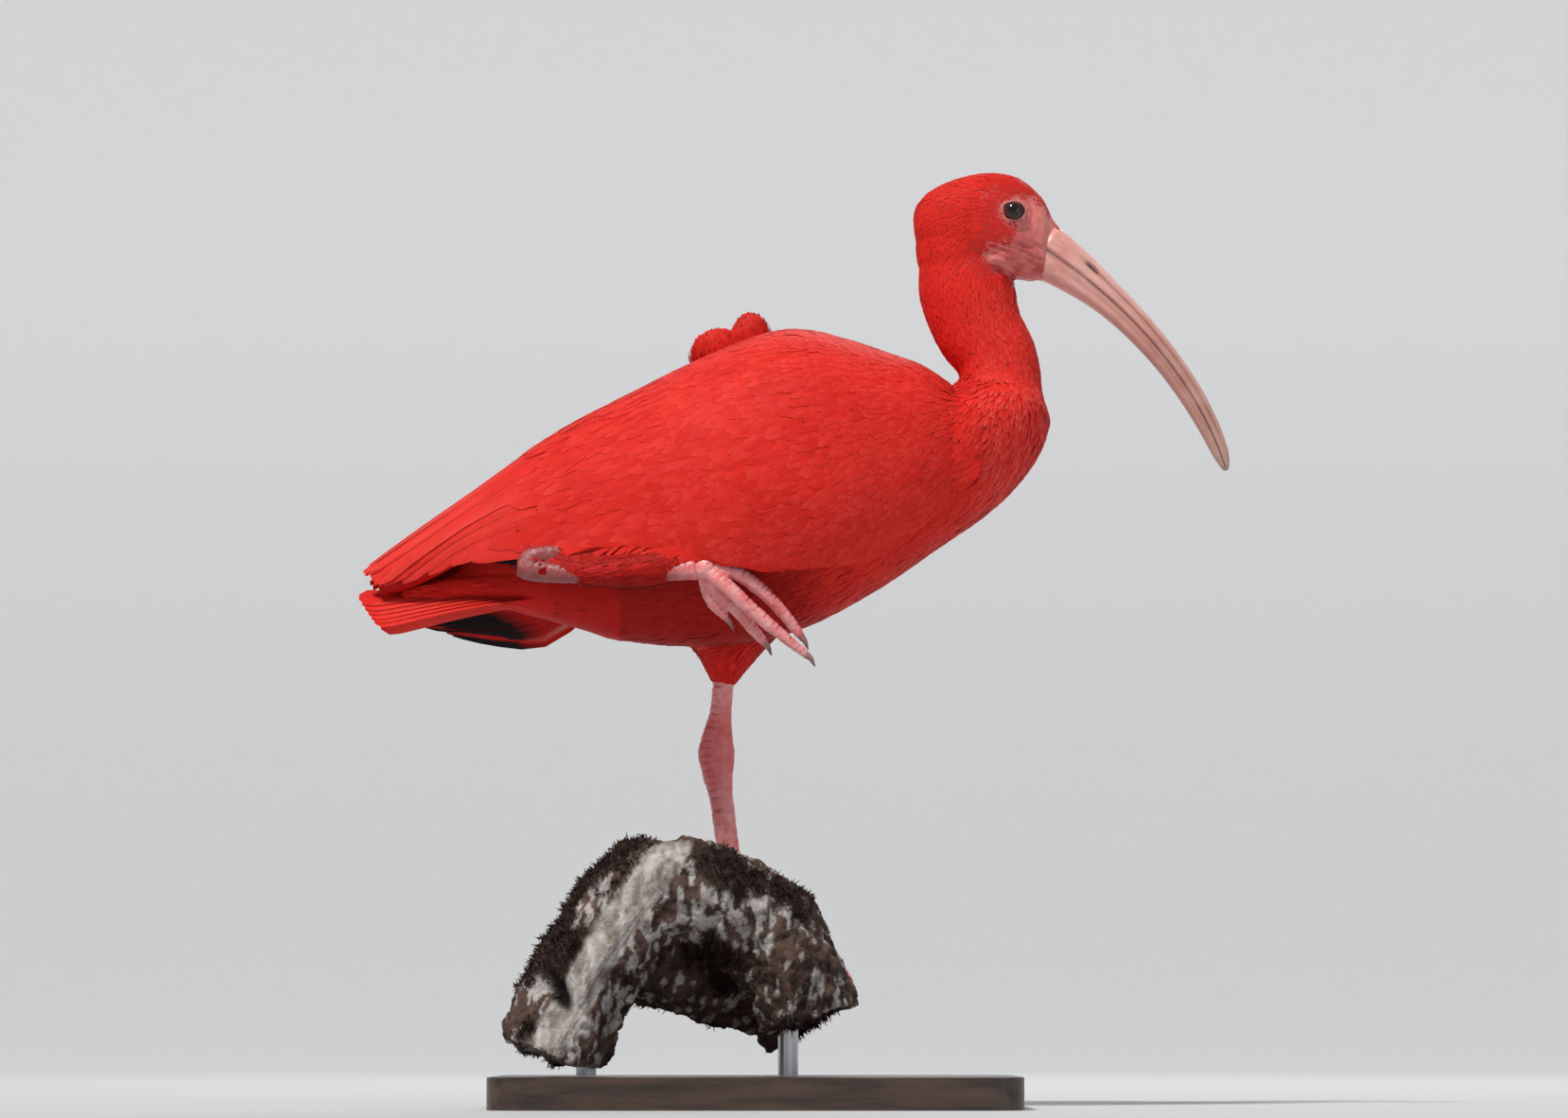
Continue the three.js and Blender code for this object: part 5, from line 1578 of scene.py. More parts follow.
    def tints(self, tier: Tier, shape: Shape, share: Array) -> Array:
        """The colour of each point of a tier's feathers."""
        tone, across = shape.marks["tone"], shape.marks["across"]
        edge = np.clip(np.abs(across) / (np.mean(tier.width) / 2), 0, 1)
        base = reds(0.45 + 0.55 * tone)
        base = blend(base, ROSE, 0.30 * ramp(edge, 0.75, 1.0) * ramp(share, 0.3, 0.9))
        if tier.name.startswith("secondaries"):
            base = blend(base, ROSE, 0.25 * ramp(share, 0.5, 1.0) * tone)
        if tier.name == "primaries":
            dark = ramp(share, 0.62, 0.74)
            base = blend(base, INK, dark * (edge > 0.05))
            base = blend(base, (0.80, 0.62, 0.58), ramp(edge, 0.06, 0.0) * ramp(share, 0.75, 0.4))
        return base

    def mantle_bed(self, side: Side) -> Shape:
        """The surface over a wing's shoulder that its small feathers grow from."""
        long, wide = 140, 76
        u, v = np.meshgrid(np.linspace(99, -120, long), np.linspace(-0.3, 1.02, wide), indexing="ij")
        rise = lerp(-0.8, 1.5, ramp(u, 66, 26)) + 0.4 * ramp(u, 0, -40) - 1.5 * ramp(u, -68, -104)
        rise = rise - 6 * ramp(u, 84, 97) * ramp(v, 0.1, -0.1)
        points = self.chart(u, v, self.top(u, v) + rise, side.value, 0.3).reshape(-1, 3)
        i, j = np.meshgrid(np.arange(long - 1), np.arange(wide - 1), indexing="ij")
        a = (i * wide + j).ravel()
        quads = np.stack([a, a + 1, a + wide + 1, a + wide], 1)
        return Shape(points, quads if side is Side.LEFT else quads[:, ::-1])

    def mantle_feathers(self, side: Side, skin: Shape) -> Shape:
        """Small lax feathers over the shoulder, which run on from the breast over the wing."""
        rng = np.random.default_rng(SEED + 60 + side.value)
        bed = self.mantle_bed(side)
        tree = surface_of(bed.join(Shape(skin.points, skin.quads, skin.tris)))
        unwrap = BodyMap()
        made = []
        for plume, front, back in self.mantle:
            wanted = lambda p, front=front, back=back: (p[:, 0] < front) & (p[:, 0] > back)
            spots, _ = scatter(bed, plume.spacing, rng, wanted)
            _, normal = nearest(surface_of(bed), spots)
            slope = lerp(-0.30, -0.60, ramp(spots[:, 0], 0, 80))
            heading = laid(np.stack([-np.ones(len(spots)), np.zeros(len(spots)), slope], 1), normal)
            sizes = lerp(1.1, 0.72, ramp(spots[:, 0], back, front + 14))
            part, share = plumes(spots, heading, normal, tree, plume, rng, sizes)
            tone = part.marks["tone"]
            # Painted shade: each feather darkens towards its root, under the feathers over it.
            red = blend(CRIMSON, reds(0.5 + 0.5 * tone), ramp(share, -1.2, 0.3))
            part.tint = blend(red, ROSE, 0.22 * ramp(share, 0.6, 1.0) * tone)
            part.patch = patches(unwrap.patch(spots), PLUME_POINTS, rng)
            made.append(part)
        return made[0].join(*made[1:])

    def ruffle(self, rng: Draws) -> Shape:
        """The loose scapulars that stand up from the back in two soft lobes."""
        tall = ball((-2.5, -4, 335), (8, 8, 14.5))
        lobes = fused(tall.join(ball((-16, -4, 331), (12, 8.5, 11.5))), 0.8, 4)
        tree = surface_of(lobes)
        spots, out = scatter(lobes, 1.05, rng, lambda p: p[:, 2] > 323)
        heading = laid(np.array([-0.20, 0.0, 1.0]) + rng.normal(0, 0.14, (len(spots), 3)), out)
        plume = Plume(9.5, 1.5, 1.05, 0.10, 2.4, 0.30, 0.65)
        shape, share = plumes(spots, heading, out, tree, plume, rng)
        tone, z = shape.marks["tone"], shape.points[:, 2]
        # Painted shade: the lobes darken low down, where they sink into the back.
        red = blend(CRIMSON, SCARLET, ramp(z, 322, 338) * (0.5 + 0.5 * tone))
        shape.tint = blend(red, ROSE, 0.25 * ramp(share, 0.6, 1.0) * ramp(z, 338, 350))
        shape.patch = patches(BodyMap().patch(spots), PLUME_POINTS, rng)
        return shape

    def underlay(self, side: Side) -> Shape:
        """The wing's own body under its feathers, closed all round."""
        u, v = np.meshgrid(np.linspace(82, -167, 48), np.linspace(0, 0.99, 26), indexing="ij")
        ends = ramp(u, 82, 66) * ramp(u, -167, -145) * ramp(v, 1.0, 0.86)
        lift = self.top(u, v) - 2.2 - 4.5 * (1 - ends)
        inner = np.minimum(lift - 1.2, -2.0)
        corners = np.stack([self.chart(u, v, height, side.value) for height in (inner, lift)], 2)
        shape = slabs(corners[None])
        count = len(shape.points)
        x, _, z = shape.points.T
        shape.marks |= {"tone": np.full(count, 0.4), "along": x, "across": z * 0.3}
        shape.tint = blend(CRIMSON, DEEP_SCARLET, np.full(count, 0.7))
        patch = np.stack([0.02 + 0.4 * (82 - u) / 249, 0.02 + 0.3 * v], -1)
        shape.patch = np.stack([patch, patch + np.array([0.0, 0.34])], 2).reshape(-1, 2)
        return shape

    def patch(self, tiers: int, row: int, count: int, length: Array, across: Array) -> Array:
        """Bake patches for a tier: each feather has a cell of its own, in its order on the wing."""
        cell_u, cell_v = 0.5 / count, 0.96 / tiers
        each = len(length) // count
        number = np.repeat(np.arange(count), each)
        u = 0.46 + (number + 0.5) * cell_u + np.clip(across, -1, 1) * cell_u * 0.42
        return np.stack([u, 0.02 + (row + 0.04 + 0.9 * length) * cell_v], 1)

    def dress(self, skin: Shape) -> None:
        """Adds both wings to the scene, over the body's skin."""
        for side in Side:
            word = side.word
            made = [self.underlay(side)]
            for row, tier in enumerate(TIERS):
                rng = np.random.default_rng(SEED + 40 + row + (0 if side is Side.LEFT else 100))
                shape, share = self.tier(tier, side, rng)
                shape.tint = self.tints(tier, shape, share)
                edge = shape.marks["across"] / (np.mean(tier.width) / 2)
                shape.patch = self.patch(len(TIERS) + 1, row, tier.count, share, edge)
                made.append(shape)
            whole = made[0].join(*made[1:])
            add_piece(f"wing_feathers_{word}", whole, FLIGHT_PLUMAGE, [f"wing_{word}"])
            soft = self.mantle_feathers(side, skin)
            if side is Side.LEFT:
                soft = soft.join(self.ruffle(np.random.default_rng(SEED + 77)))
            add_piece(f"mantle_{word}", soft, BODY_PLUMAGE, [f"wing_{word}"])


@dataclass
class Tail:
    """The folded tail: twelve flight feathers, and coverts above and below them."""

    pairs: int = 6
    root: tuple[float, float, float] = (-80.0, 1.4, 235.0)
    tip_x: tuple[float, float] = (-176.0, -168.0)
    tip_y: tuple[float, float] = (3.0, 16.0)
    tip_z: float = 228.0
    width: float = 17.0
    step: float = 0.55
    roof: float = 0.8
    stations: int = 14
    columns: int = 5
    # Share of a feather's length, share of its full width.
    outline: Pairs = ((0, 0.4), (0.3, 0.85), (0.7, 1.0), (0.92, 0.88), (0.98, 0.6), (1, 0.2))

    def feathers(self) -> Shape:
        """The flight feathers, the middle pair on top."""
        rng = np.random.default_rng(SEED + 300)
        grids, shares, edges = [], [], []
        s = 1 - (1 - np.linspace(0, 1, self.stations)) ** 1.3
        sideways = np.linspace(-1, 1, self.columns)
        grid = (self.stations, self.columns, 2)
        outline = Profile(self.outline)(s)[:, 0]
        for i in range(self.pairs):
            f = i / (self.pairs - 1)
            for side in Side:
                start = np.array([self.root[0], side.value * self.root[1] * (1 + i)])
                end = np.array([lerp(*self.tip_x, f), side.value * lerp(*self.tip_y, f)])
                run = end - start
                length = float(np.hypot(*run))
                across = np.array([-run[1], run[0]]) / length
                reach = self.width / 2 * outline[:, None] * sideways[None]
                x = start[0] + run[0] * s[:, None] + across[0] * reach
                y = start[1] + run[1] * s[:, None] + across[1] * reach
                slope = (x - self.root[0]) / (self.tip_x[0] - self.root[0])
                lift = -self.step * (2 * i + (side is Side.RIGHT)) * lerp(1.0, 0.6, s)[:, None]
                fall = self.roof * np.abs(y) * lerp(0.35, 1.0, slope**2)
                z = lerp(self.root[2], self.tip_z, slope) - fall + lift + rng.normal(0, 0.15)
                z = z - 0.3 * (sideways**2)[None]
                thick = 0.3 * (1 - 0.7 * np.abs(sideways) ** 3)[None] * (1 - 0.4 * s)[:, None]
                top = z + thick + np.where(np.abs(sideways) < 0.01, 0.14, 0.0)[None]
                grids.append(np.stack([np.stack([x, y, z], -1), np.stack([x, y, top], -1)], 2))
                shares.append(np.broadcast_to((length * s)[:, None, None], grid))
                edges.append(np.broadcast_to(reach[..., None], grid))
        shape = slabs(np.stack(grids))
        count = 2 * self.pairs
        along, across = np.stack(shares).ravel(), np.stack(edges).ravel()
        tone = np.repeat(rng.random(count), math.prod(grid))
        shape.marks |= {"tone": tone, "along": along, "across": across}
        edge = np.clip(np.abs(across) / (self.width / 2), 0, 1)
        share = along / along.max()
        shape.tint = blend(reds(0.4 + 0.6 * tone), ROSE, 0.4 * ramp(edge, 0.7, 1.0) * share)
        number = np.repeat(np.arange(count), math.prod(grid))
        u = 0.02 + 0.96 * (number + 0.5 + 0.42 * across / (self.width / 2)) / count
        shape.patch = np.stack([u, 0.02 + 0.5 * share], 1)
        return shape

    def coverts(self) -> Shape:
        """Small feathers over the root of the tail, above and below."""
        rng = np.random.default_rng(SEED + 310)
        rump = oval_body([row for row in TORSO_ROWS if row[0] <= -65], 40, 40, -1.5)
        bed = fused(rump.join(limb(UNDERTAIL, 40, 32)), 1.5, 6)
        tree = surface_of(bed)
        spots, _ = scatter(bed, 2.4, rng, lambda p: (p[:, 0] < -84) & (p[:, 0] > -146))
        _, normal = nearest(tree, spots)
        heading = laid(np.broadcast_to(np.array([-1.0, 0.0, -0.10]), spots.shape), normal)
        plume = Plume(23, 4.2, 2.4, 0.16, 0.6, 0.09, 0.45)
        sizes = lerp(0.62, 1.0, ramp(spots[:, 0], -146, -124))
        made, share = plumes(spots, heading, normal, tree, plume, rng, sizes)
        # Painted shade: each covert darkens towards its root, under the ones over it.
        made.tint = blend(CRIMSON, reds(made.marks["tone"]), ramp(share, -0.2, 0.5))
        x, y, _ = spots.T
        centres = np.stack([0.02 + 0.96 * (y + 30) / 60, 0.60 + 0.36 * (-x - 65) / 90], 1)
        made.patch = patches(centres, PLUME_POINTS, rng)
        bed.marks = {name: np.full(len(bed.points), 0.4) for name in made.marks}
        bed.tint = blend(CRIMSON, DEEP_SCARLET, np.full(len(bed.points), 0.4))
        bed.patch = np.stack([0.5 + bed.points[:, 1] / 80, 0.56 + 0 * bed.points[:, 2]], 1)
        return made.join(bed)

    def dress(self) -> None:
        """Adds the tail to the scene."""
        add_piece("tail_feathers", self.feathers(), FLIGHT_PLUMAGE, ["tail"])
        add_piece("tail_coverts", self.coverts(), BODY_PLUMAGE, ["tail"])


# Bill, eyes and claws


@dataclass
class Bill:
    """The long curved bill: its upper and lower halves, grooved and nicked by the nostrils."""

    base: tuple[float, float] = (131.5, 377.9)
    tip: tuple[float, float] = (208.7, 281.8)
    leave: float = math.radians(-34)
    arrive: float = math.radians(-72)
    pull: float = 45.0
    stations: int = 120
    around: int = 44
    rows: tuple[tuple[float, float, float, float], ...] = (
        (-0.06, 12.6, 11.8, 7.9), (0, 12.3, 11.4, 7.8), (0.08, 10.9, 9.7, 7), (0.25, 8.2, 7, 5.6),
        (0.5, 6.4, 5.6, 4.3), (0.75, 5.4, 4.6, 3.6), (0.93, 3.9, 3.1, 2.9), (0.985, 2.1, 1.5, 1.7),
        (1, 0.8, 0.6, 0.7),
    )

    def curve(self, t: Array) -> tuple[Array, Array]:
        """The points of the mouth's line and their directions, in side view."""
        p0 = np.array(self.base)
        p1 = p0 + self.pull * np.array([math.cos(self.leave), math.sin(self.leave)])
        p3 = np.array(self.tip)
        p2 = p3 + (5 - self.pull) * np.array([math.cos(self.arrive), math.sin(self.arrive)])
        t = t[:, None]
        at = p0 * (1 - t) ** 3 + 3 * p1 * t * (1 - t) ** 2 + 3 * p2 * t * t * (1 - t) + p3 * t**3
        heading = 3 * (p1 - p0) * (1 - t) ** 2 + 6 * (p2 - p1) * t * (1 - t) + 3 * (p3 - p2) * t * t
        return at, unit(heading)

    def half(self, upper: bool) -> Shape:
        """The upper or the lower half."""
        inner = np.linspace(0, 1, self.stations)
        t = np.concatenate([[-0.05, -0.025], inner])
        at, heading = self.curve(np.maximum(t, 0))
        at = at + heading * np.minimum(t, 0)[:, None] * 118
        up = np.stack([-heading[:, 1], heading[:, 0]], 1) * (1 if upper else -1)
        over, under, wide = (Profile(self.rows)(t)[:, k] for k in range(3))
        tall = over if upper else under
        angle = full_turn(self.around)
        across, rise = np.sin(angle), np.cos(angle)
        outside = np.where(rise > 0, rise, 0.0)
        y_share = np.sign(across) * np.abs(across) ** 0.86
        groove = bell(outside - (0.52 if upper else 0.34), 0.10) * (rise > 0)
        strength = (0.30 if upper else 0.16) * ramp(t, 0.02, 0.10) * ramp(t, 0.95, 0.80)
        y = wide[:, None] * y_share[None] * (1 - groove[None] * strength[:, None])
        edge = np.where(rise < 0, 0.10 * np.abs(across)[None] ** 3 * -1.0, 0.0)
        high = 0.18 + tall[:, None] * np.clip(outside[None] ** 0.92 + edge, -0.02, 1.05)
        pits = np.zeros_like(y)
        if upper:
            gone = bell(t - 0.135, 0.026, 4)[:, None] * bell(outside - 0.56, 0.085, 4)[None]
            pits = gone * (rise > 0) * 1.7
        y = y - np.sign(y) * pits
        wave = 0.05 * np.sin(t * 340) * ramp(t, 0.5, 0.1)
        x = at[:, 0, None] + up[:, 0, None] * high
        z = at[:, 1, None] + up[:, 1, None] * high
        y = y * (1 + wave[:, None] * 0.3)
        shape = loft(np.stack([x, y, z], -1))
        share = np.append(np.repeat(t, self.around), [0, 1])
        level = np.append(np.tile(outside, len(t)), [0.5, 0.5])
        pit = np.append(pits.ravel(), [0, 0])
        shape.tint = self.tints(shape.points, share, level, pit, upper)
        shape.marks = {"along": share * 130, "across": np.append(np.tile(angle * 4, len(t)), [0, 0])}
        return shape

    def tints(self, points: Array, t: Array, level: Array, pit: Array, upper: bool) -> Array:
        """The bill's colours: pink at the base, dun at the tip, paler along the top, partly as a painted
        highlight on the ridge, with painted shade in the side groove, along the mouth and in the
        nostrils.
        """
        flesh = blend((0.78, 0.40, 0.34), (0.52, 0.235, 0.185), ramp(t, 0.12, 0.62))
        flesh = blend(flesh, (0.48, 0.27, 0.20), ramp(t, 0.62, 0.92))
        # The top of each half is paler, most along the upper ridge: partly the horn's own paleness,
        # partly a painted highlight on the ridge.
        pale = blend((0.86, 0.53, 0.47), (0.66, 0.40, 0.33), ramp(t, 0.2, 0.8))
        top = blend(flesh, pale, ramp(level, 0.62, 0.95) * (0.8 if upper else 0.3))
        # Painted shade: the side groove of each half is tinted dark.
        nasal_groove_shade = bell(level - (0.52 if upper else 0.34), 0.075)
        nasal_groove_shade = nasal_groove_shade * ramp(t, 0.06, 0.14) * ramp(t, 0.97, 0.85)
        top = blend(top, (0.24, 0.085, 0.070), nasal_groove_shade * (0.75 if upper else 0.3))
        # Painted shade: darkens each half along the mouth, where the two halves meet.
        mouth = blend(top, (0.20, 0.085, 0.075), ramp(level, 0.12, 0.0) * 0.8)
        blood = np.clip(0.5 + ripple(points, 9, 3, 5.0), 0, 1)
        warm = blend(mouth, (0.66, 0.20, 0.18), 0.45 * ramp(t, 0.16, 0.0) * blood)
        warm = blend(warm, (0.74, 0.50, 0.46), 0.35 * np.clip(ripple(points, 14, 3, 8.0), 0, 1))
        # Painted shade: the nostril pits darken with their depth.
        return blend(warm, (0.05, 0.014, 0.012), np.clip(pit / 1.2, 0, 1))

    def dress(self) -> None:
        """Adds both halves to the scene."""
        add_piece("bill_upper_horn", self.half(True), HORN, ["bill_upper"])
        add_piece("bill_lower_horn", self.half(False), HORN, ["bill_lower"])


@dataclass
class Eyes:
    """The two dark eyes and the pale lids round them."""

    pupil: float = 0.46

    def eye(self, side: Side) -> Shape:
        """One eyeball, a little bulged over its iris."""
        x, y, z = EYE
        polar = np.concatenate([np.linspace(0.02, 1.2, 40), np.linspace(1.26, math.pi - 0.03, 20)])
        turn = full_turn(48)
        r = (EYE_RADIUS - 0.1) * (1 + 0.03 * bell(polar, 0.6))
        out, across = (r * np.cos(polar))[:, None], (r * np.sin(polar))[:, None]
        rings = (x + across * np.cos(turn), side.value * (y + out), z + across * np.sin(turn))
        shape = loft(np.stack(np.broadcast_arrays(*rings), -1))
        around = np.append(np.repeat(polar, 48), [0, math.pi])
        edge = ramp(around, self.pupil - 0.05, self.pupil + 0.05)
        iris = blend((0.006, 0.003, 0.003), (0.055, 0.017, 0.010), edge)
        shape.tint = blend(iris, (0.02, 0.008, 0.006), ramp(around, 0.8, 1.0))
        return shape

    def lids(self, side: Side) -> Shape:
        """The bare rims of one eye: an upper and a lower lid that meet at the corners."""
        x, y, z = EYE
        turn, tube = full_turn(72), full_turn(14)
        wide = 4.95 + 0.32 * np.cos(2 * turn) - 0.25 * (np.sin(turn) > 0) * np.sin(turn)
        depth = 2.9 - 0.25 * np.cos(2 * turn)
        fat = (0.36 + 0.14 * np.maximum(np.sin(turn), 0) + 0.04 * np.sin(9 * turn))[:, None]
        ring = wide[:, None] + fat * np.cos(tube)[None]
        out = depth[:, None] + fat * 0.9 * np.sin(tube)[None]
        c, s = np.cos(turn)[:, None], np.sin(turn)[:, None]
        points = np.stack([x + ring * c * 1.03, side.value * (y + out + 0.45), z + ring * s * 0.97], -1)
        i, j = np.meshgrid(np.arange(72), np.arange(14), indexing="ij")
        here, after, beside = i * 14, (i + 1) % 72 * 14, (j + 1) % 14
        quads = np.stack([here + j, after + j, after + beside, here + beside], -1).reshape(-1, 4)
        shape = Shape(points.reshape(-1, 3), quads)
        # Painted shade: the inner side of each lid, against the eye, is darkened.
        inner = np.tile((np.cos(tube) < -0.3).astype(float), 72)
        shape.tint = blend(LID_PINK, (0.22, 0.05, 0.05), inner * 0.8)
        return shape

    def dress(self) -> None:
        """Adds the eyes and lids to the scene."""
        for side in Side:
            word = side.word
            add_piece(f"eyeball_{word}", self.eye(side), WET_EYE, [f"eye_{word}"])
            add_piece(f"lids_{word}", self.lids(side), SKIN, ["head"])


@dataclass
class Claws:
    """The eight claws, each curved down from the end of its toe."""

    skin: Skin
    length: float = 7.6
    radius: float = 1.6

    def claw(self, name: str, rows: Rows) -> Shape:
        """One claw."""
        last, before = np.array(rows[-2][:3], float), np.array(rows[-3][:3], float)
        away = unit(last - before)
        bend = unit(away + np.array([0, 0, -0.75]))
        r = self.radius * (0.85 if name.endswith("hind") else 1.0)
        middle = last + away * self.length * 0.45
        tip = middle + bend * self.length * 0.55
        rows = (
            (*(last - away * 1.0), r, r * 0.75),
            (*(last + away * 1.6), r * 0.98, r * 0.76),
            (*middle, r * 0.75, r * 0.58),
            (*lerp(middle, tip, 0.6), r * 0.42, r * 0.34),
            (*tip, 0.22, 0.2),
        )
        shape = limb(rows, 22, 16)
        share = np.linalg.norm(shape.points - last, axis=1) / self.length
        shape.tint = blend((0.46, 0.21, 0.20), (0.20, 0.11, 0.10), ramp(share, 0.2, 0.9))
        return shape

    def dress(self) -> None:
        """Adds the claws to the scene."""
        for name, rows in self.skin.toes().items():
            add_piece(f"{name}_horn", self.claw(name, rows), CLAW_HORN, [name])


# Perch and stand


@dataclass
class Perch:
    """The cut length of forked branch: cracked bark, lichen, moss, a weathered split and sawn ends."""

    nodes: dict[str, bpy.types.Object]
    voxel: float = 1.25
    tufts: int = 9000
    # The bare split down the near limb, in side view.
    split: Pairs = ((-36, 116), (-46, 100), (-62, 76), (-76, 52), (-92, 24))

    def shape_of_node(self) -> Shape:
        """The points and faces of the perch's solid."""
        mesh = self.nodes["perch"].data
        points = np.array([self.nodes["perch"].matrix_world @ v.co for v in mesh.vertices]) / MM
        mesh.calc_loop_triangles()
        tris = np.array([t.vertices for t in mesh.loop_triangles])
        return Shape(points, tris=tris)

    def from_split(self, x: Array, z: Array) -> Array:
        """How far each place lies from the split's line, in side view."""
        line = Path([(x, 0, z) for x, z in self.split])(np.linspace(0, 1, 80))
        return np.hypot(x[:, None] - line[:, 0], z[:, None] - line[:, 2]).min(1)

    def dress(self) -> None:
        """Adds the bark and its moss to the scene."""
        bark = fused(self.shape_of_node(), self.voxel, 3)
        points, out = bark.points, normals_of(bark)
        x, y, z = points.T
        swirl = np.stack([ripple(points, 13, 4, k) for k in (1.0, 2.0, 3.0)], 1)
        stretched = points * np.array([1.0, 0.8, 0.42]) + 7.0 * swirl
        plates = np.array([noise.voronoi(Vector(p) / 7.0)[0] for p in stretched])
        crack = plates[:, 1] - plates[:, 0]
        rugged, fine = ripple(points, 16, 5, 1.0), ripple(points, 4, 3, 6.0)
        gap = self.from_split(x, z)
        near_side = ramp(y, -18, -30)
        split = ramp(gap, 9.5, 7.0) * near_side * ramp(z, 118, 112)
        back, rise = x + 86, z - 52
        short, tall = (back * 0.85 + rise * 0.5) / 4.2, (rise * 0.85 - back * 0.5) / 12.0
        hollow = np.exp(-(short**2) - tall**2) * ramp(y, -20, -34)
        top = ramp(out[:, 2], 0.15, 0.75)
        patchy = ripple(points, 26, 4, 11.0)
        moss = ramp(patchy + 0.9 * top * ramp(x, -20, -60) + 0.25 * top, 0.25, 0.6)
        moss = moss * (1 - split) * (1 - hollow)
        floor = ramp(z, 20.5, 17.5) * ramp(out[:, 2], -0.6, -0.9)
        relief = 2.0 * rugged + 1.1 * fine - 1.0 * ramp(crack, 0.14, 0.0) + 0.8 * moss
        grain = 0.45 * np.sin(gap * 3.1 + 2.0 * ripple(points, 9, 2, 3.0))
        relief = lerp(relief, -1.0 + grain, split) * (1 - floor) - 7.0 * hollow
        bark.points = points + out * relief[:, None]
        grey = np.clip(0.5 + 0.9 * ripple(points, 11, 4, 21.0), 0, 1)
        plate = grey * (0.55 + 0.45 * ramp(crack, 0.0, 0.3))
        tint = blend((0.045, 0.027, 0.021), (0.15, 0.092, 0.070), plate)
        dashes = ripple(points * np.array([1.6, 1.0, 0.55]), 5.5, 3, 31.0)
        dashes = dashes + 0.5 * ripple(points, 24, 2, 36.0)
        lichen = ramp(dashes + 0.10 * near_side, 0.27, 0.42)
        tint = blend(tint, (0.50, 0.47, 0.45), lichen * 0.9)
        streaks = np.clip(0.5 + 0.8 * ripple(points * np.array([1, 1, 0.25]), 3.5, 3, 5.0), 0, 1)
        wood = blend((0.62, 0.58, 0.545), (0.27, 0.23, 0.20), streaks)
        tint = blend(tint, wood, split)
        # Painted shade: the hollow is made near black.
        tint = blend(tint, (0.006, 0.005, 0.004), ramp(hollow, 0.25, 0.7))
        damp = np.clip(0.5 + ripple(points, 5, 3, 41.0), 0, 1)
        tint = blend(tint, blend((0.020, 0.011, 0.010), (0.055, 0.032, 0.024), damp), moss)
        bark.tint = blend(tint, (0.46, 0.37, 0.28), floor)
        # The moss mark also covers the hollow, which keeps lichen flecks off its painted shade.
        bark.marks = {"moss": np.clip(moss + hollow, 0, 1)}
        add_piece("perch_bark", bark, BARK, ["perch"])
        add_piece("perch_moss", self.moss_tufts(bark, moss), MOSS, ["perch"])

    def moss_tufts(self, bark: Shape, moss: Array) -> Shape:
        """Short leafy strands that stand up from the mossy bark."""
        rng = np.random.default_rng(SEED + 500)
        out = normals_of(bark)
        weights = moss**2
        chosen = rng.choice(len(moss), self.tufts, p=weights / weights.sum())
        clump = ripple(bark.points[chosen], 5, 2, 51.0)
        length = np.clip(2.6 + 2.2 * clump, 0.8, 5.0) * rng.uniform(0.6, 1.3, self.tufts)
        lean = unit(out[chosen] + rng.normal(0, 0.55, (self.tufts, 3)) + np.array([0, 0, -0.12]))
        root = bark.points[chosen] + rng.normal(0, 0.5, (self.tufts, 3)) - out[chosen] * 0.5
        middle = root + lean * (length * 0.55)[:, None]
        tip = middle + unit(lean + rng.normal(0, 0.5, (self.tufts, 3))) * (length * 0.5)[:, None]
        side = unit(np.cross(lean, rng.normal(0, 1, (self.tufts, 3))))
        other = np.cross(lean, side)
        wide = rng.uniform(0.22, 0.42, self.tufts)[:, None]
        three = (side, -0.5 * side + 0.87 * other, -0.5 * side - 0.87 * other)
        ring = lambda centre, size: [centre + away * wide * size for away in three]
        points = np.stack([*ring(root, 1.0), *ring(middle, 0.8), tip], 1)
        quads = [[0, 1, 4, 3], [1, 2, 5, 4], [2, 0, 3, 5]]
        tris = [[0, 2, 1], [3, 4, 6], [4, 5, 6], [5, 3, 6]]
        shape = repeated(points, quads, tris)
        tone = rng.random(self.tufts)
        tint = blend((0.018, 0.010, 0.009), (0.075, 0.042, 0.030), tone)
        shape.tint = np.repeat(tint, 7, 0)
        shape.marks = {"moss": np.ones(len(shape.points))}
        return shape


@dataclass
class Stand:
    """The display stand: a bevelled wooden base and two steel rods."""

    nodes: dict[str, bpy.types.Object]
    bevel: float = 2.2
    rod_bevel: float = 0.4

    def eased(
        self, name: str, finish: Finish, width: float, steps: int, angle: float
    ) -> bpy.types.Object:
        """One of the stand's nodes, given its finish and a bevel on edges sharper than an angle."""
        node = self.nodes[name]
        node.data.materials.clear()
        node.data.materials.append(finish.material())
        edge = node.modifiers.new("eased_edges", "BEVEL")
        edge.width = width * MM
        edge.segments = steps
        edge.limit_method = "ANGLE"
        edge.angle_limit = math.radians(angle)
        return node

    def dress(self) -> None:
        """Finishes the stand's own nodes."""
        base = self.eased("stand_base", PLINTH, self.bevel, 4, 40)
        for name in ("stand_rod_1", "stand_rod_2"):
            rod = self.eased(name, STEEL, self.rod_bevel, 2, 60)
            for face in rod.data.polygons:
                face.use_smooth = True
            log.info("%s finished", name)


# Studio


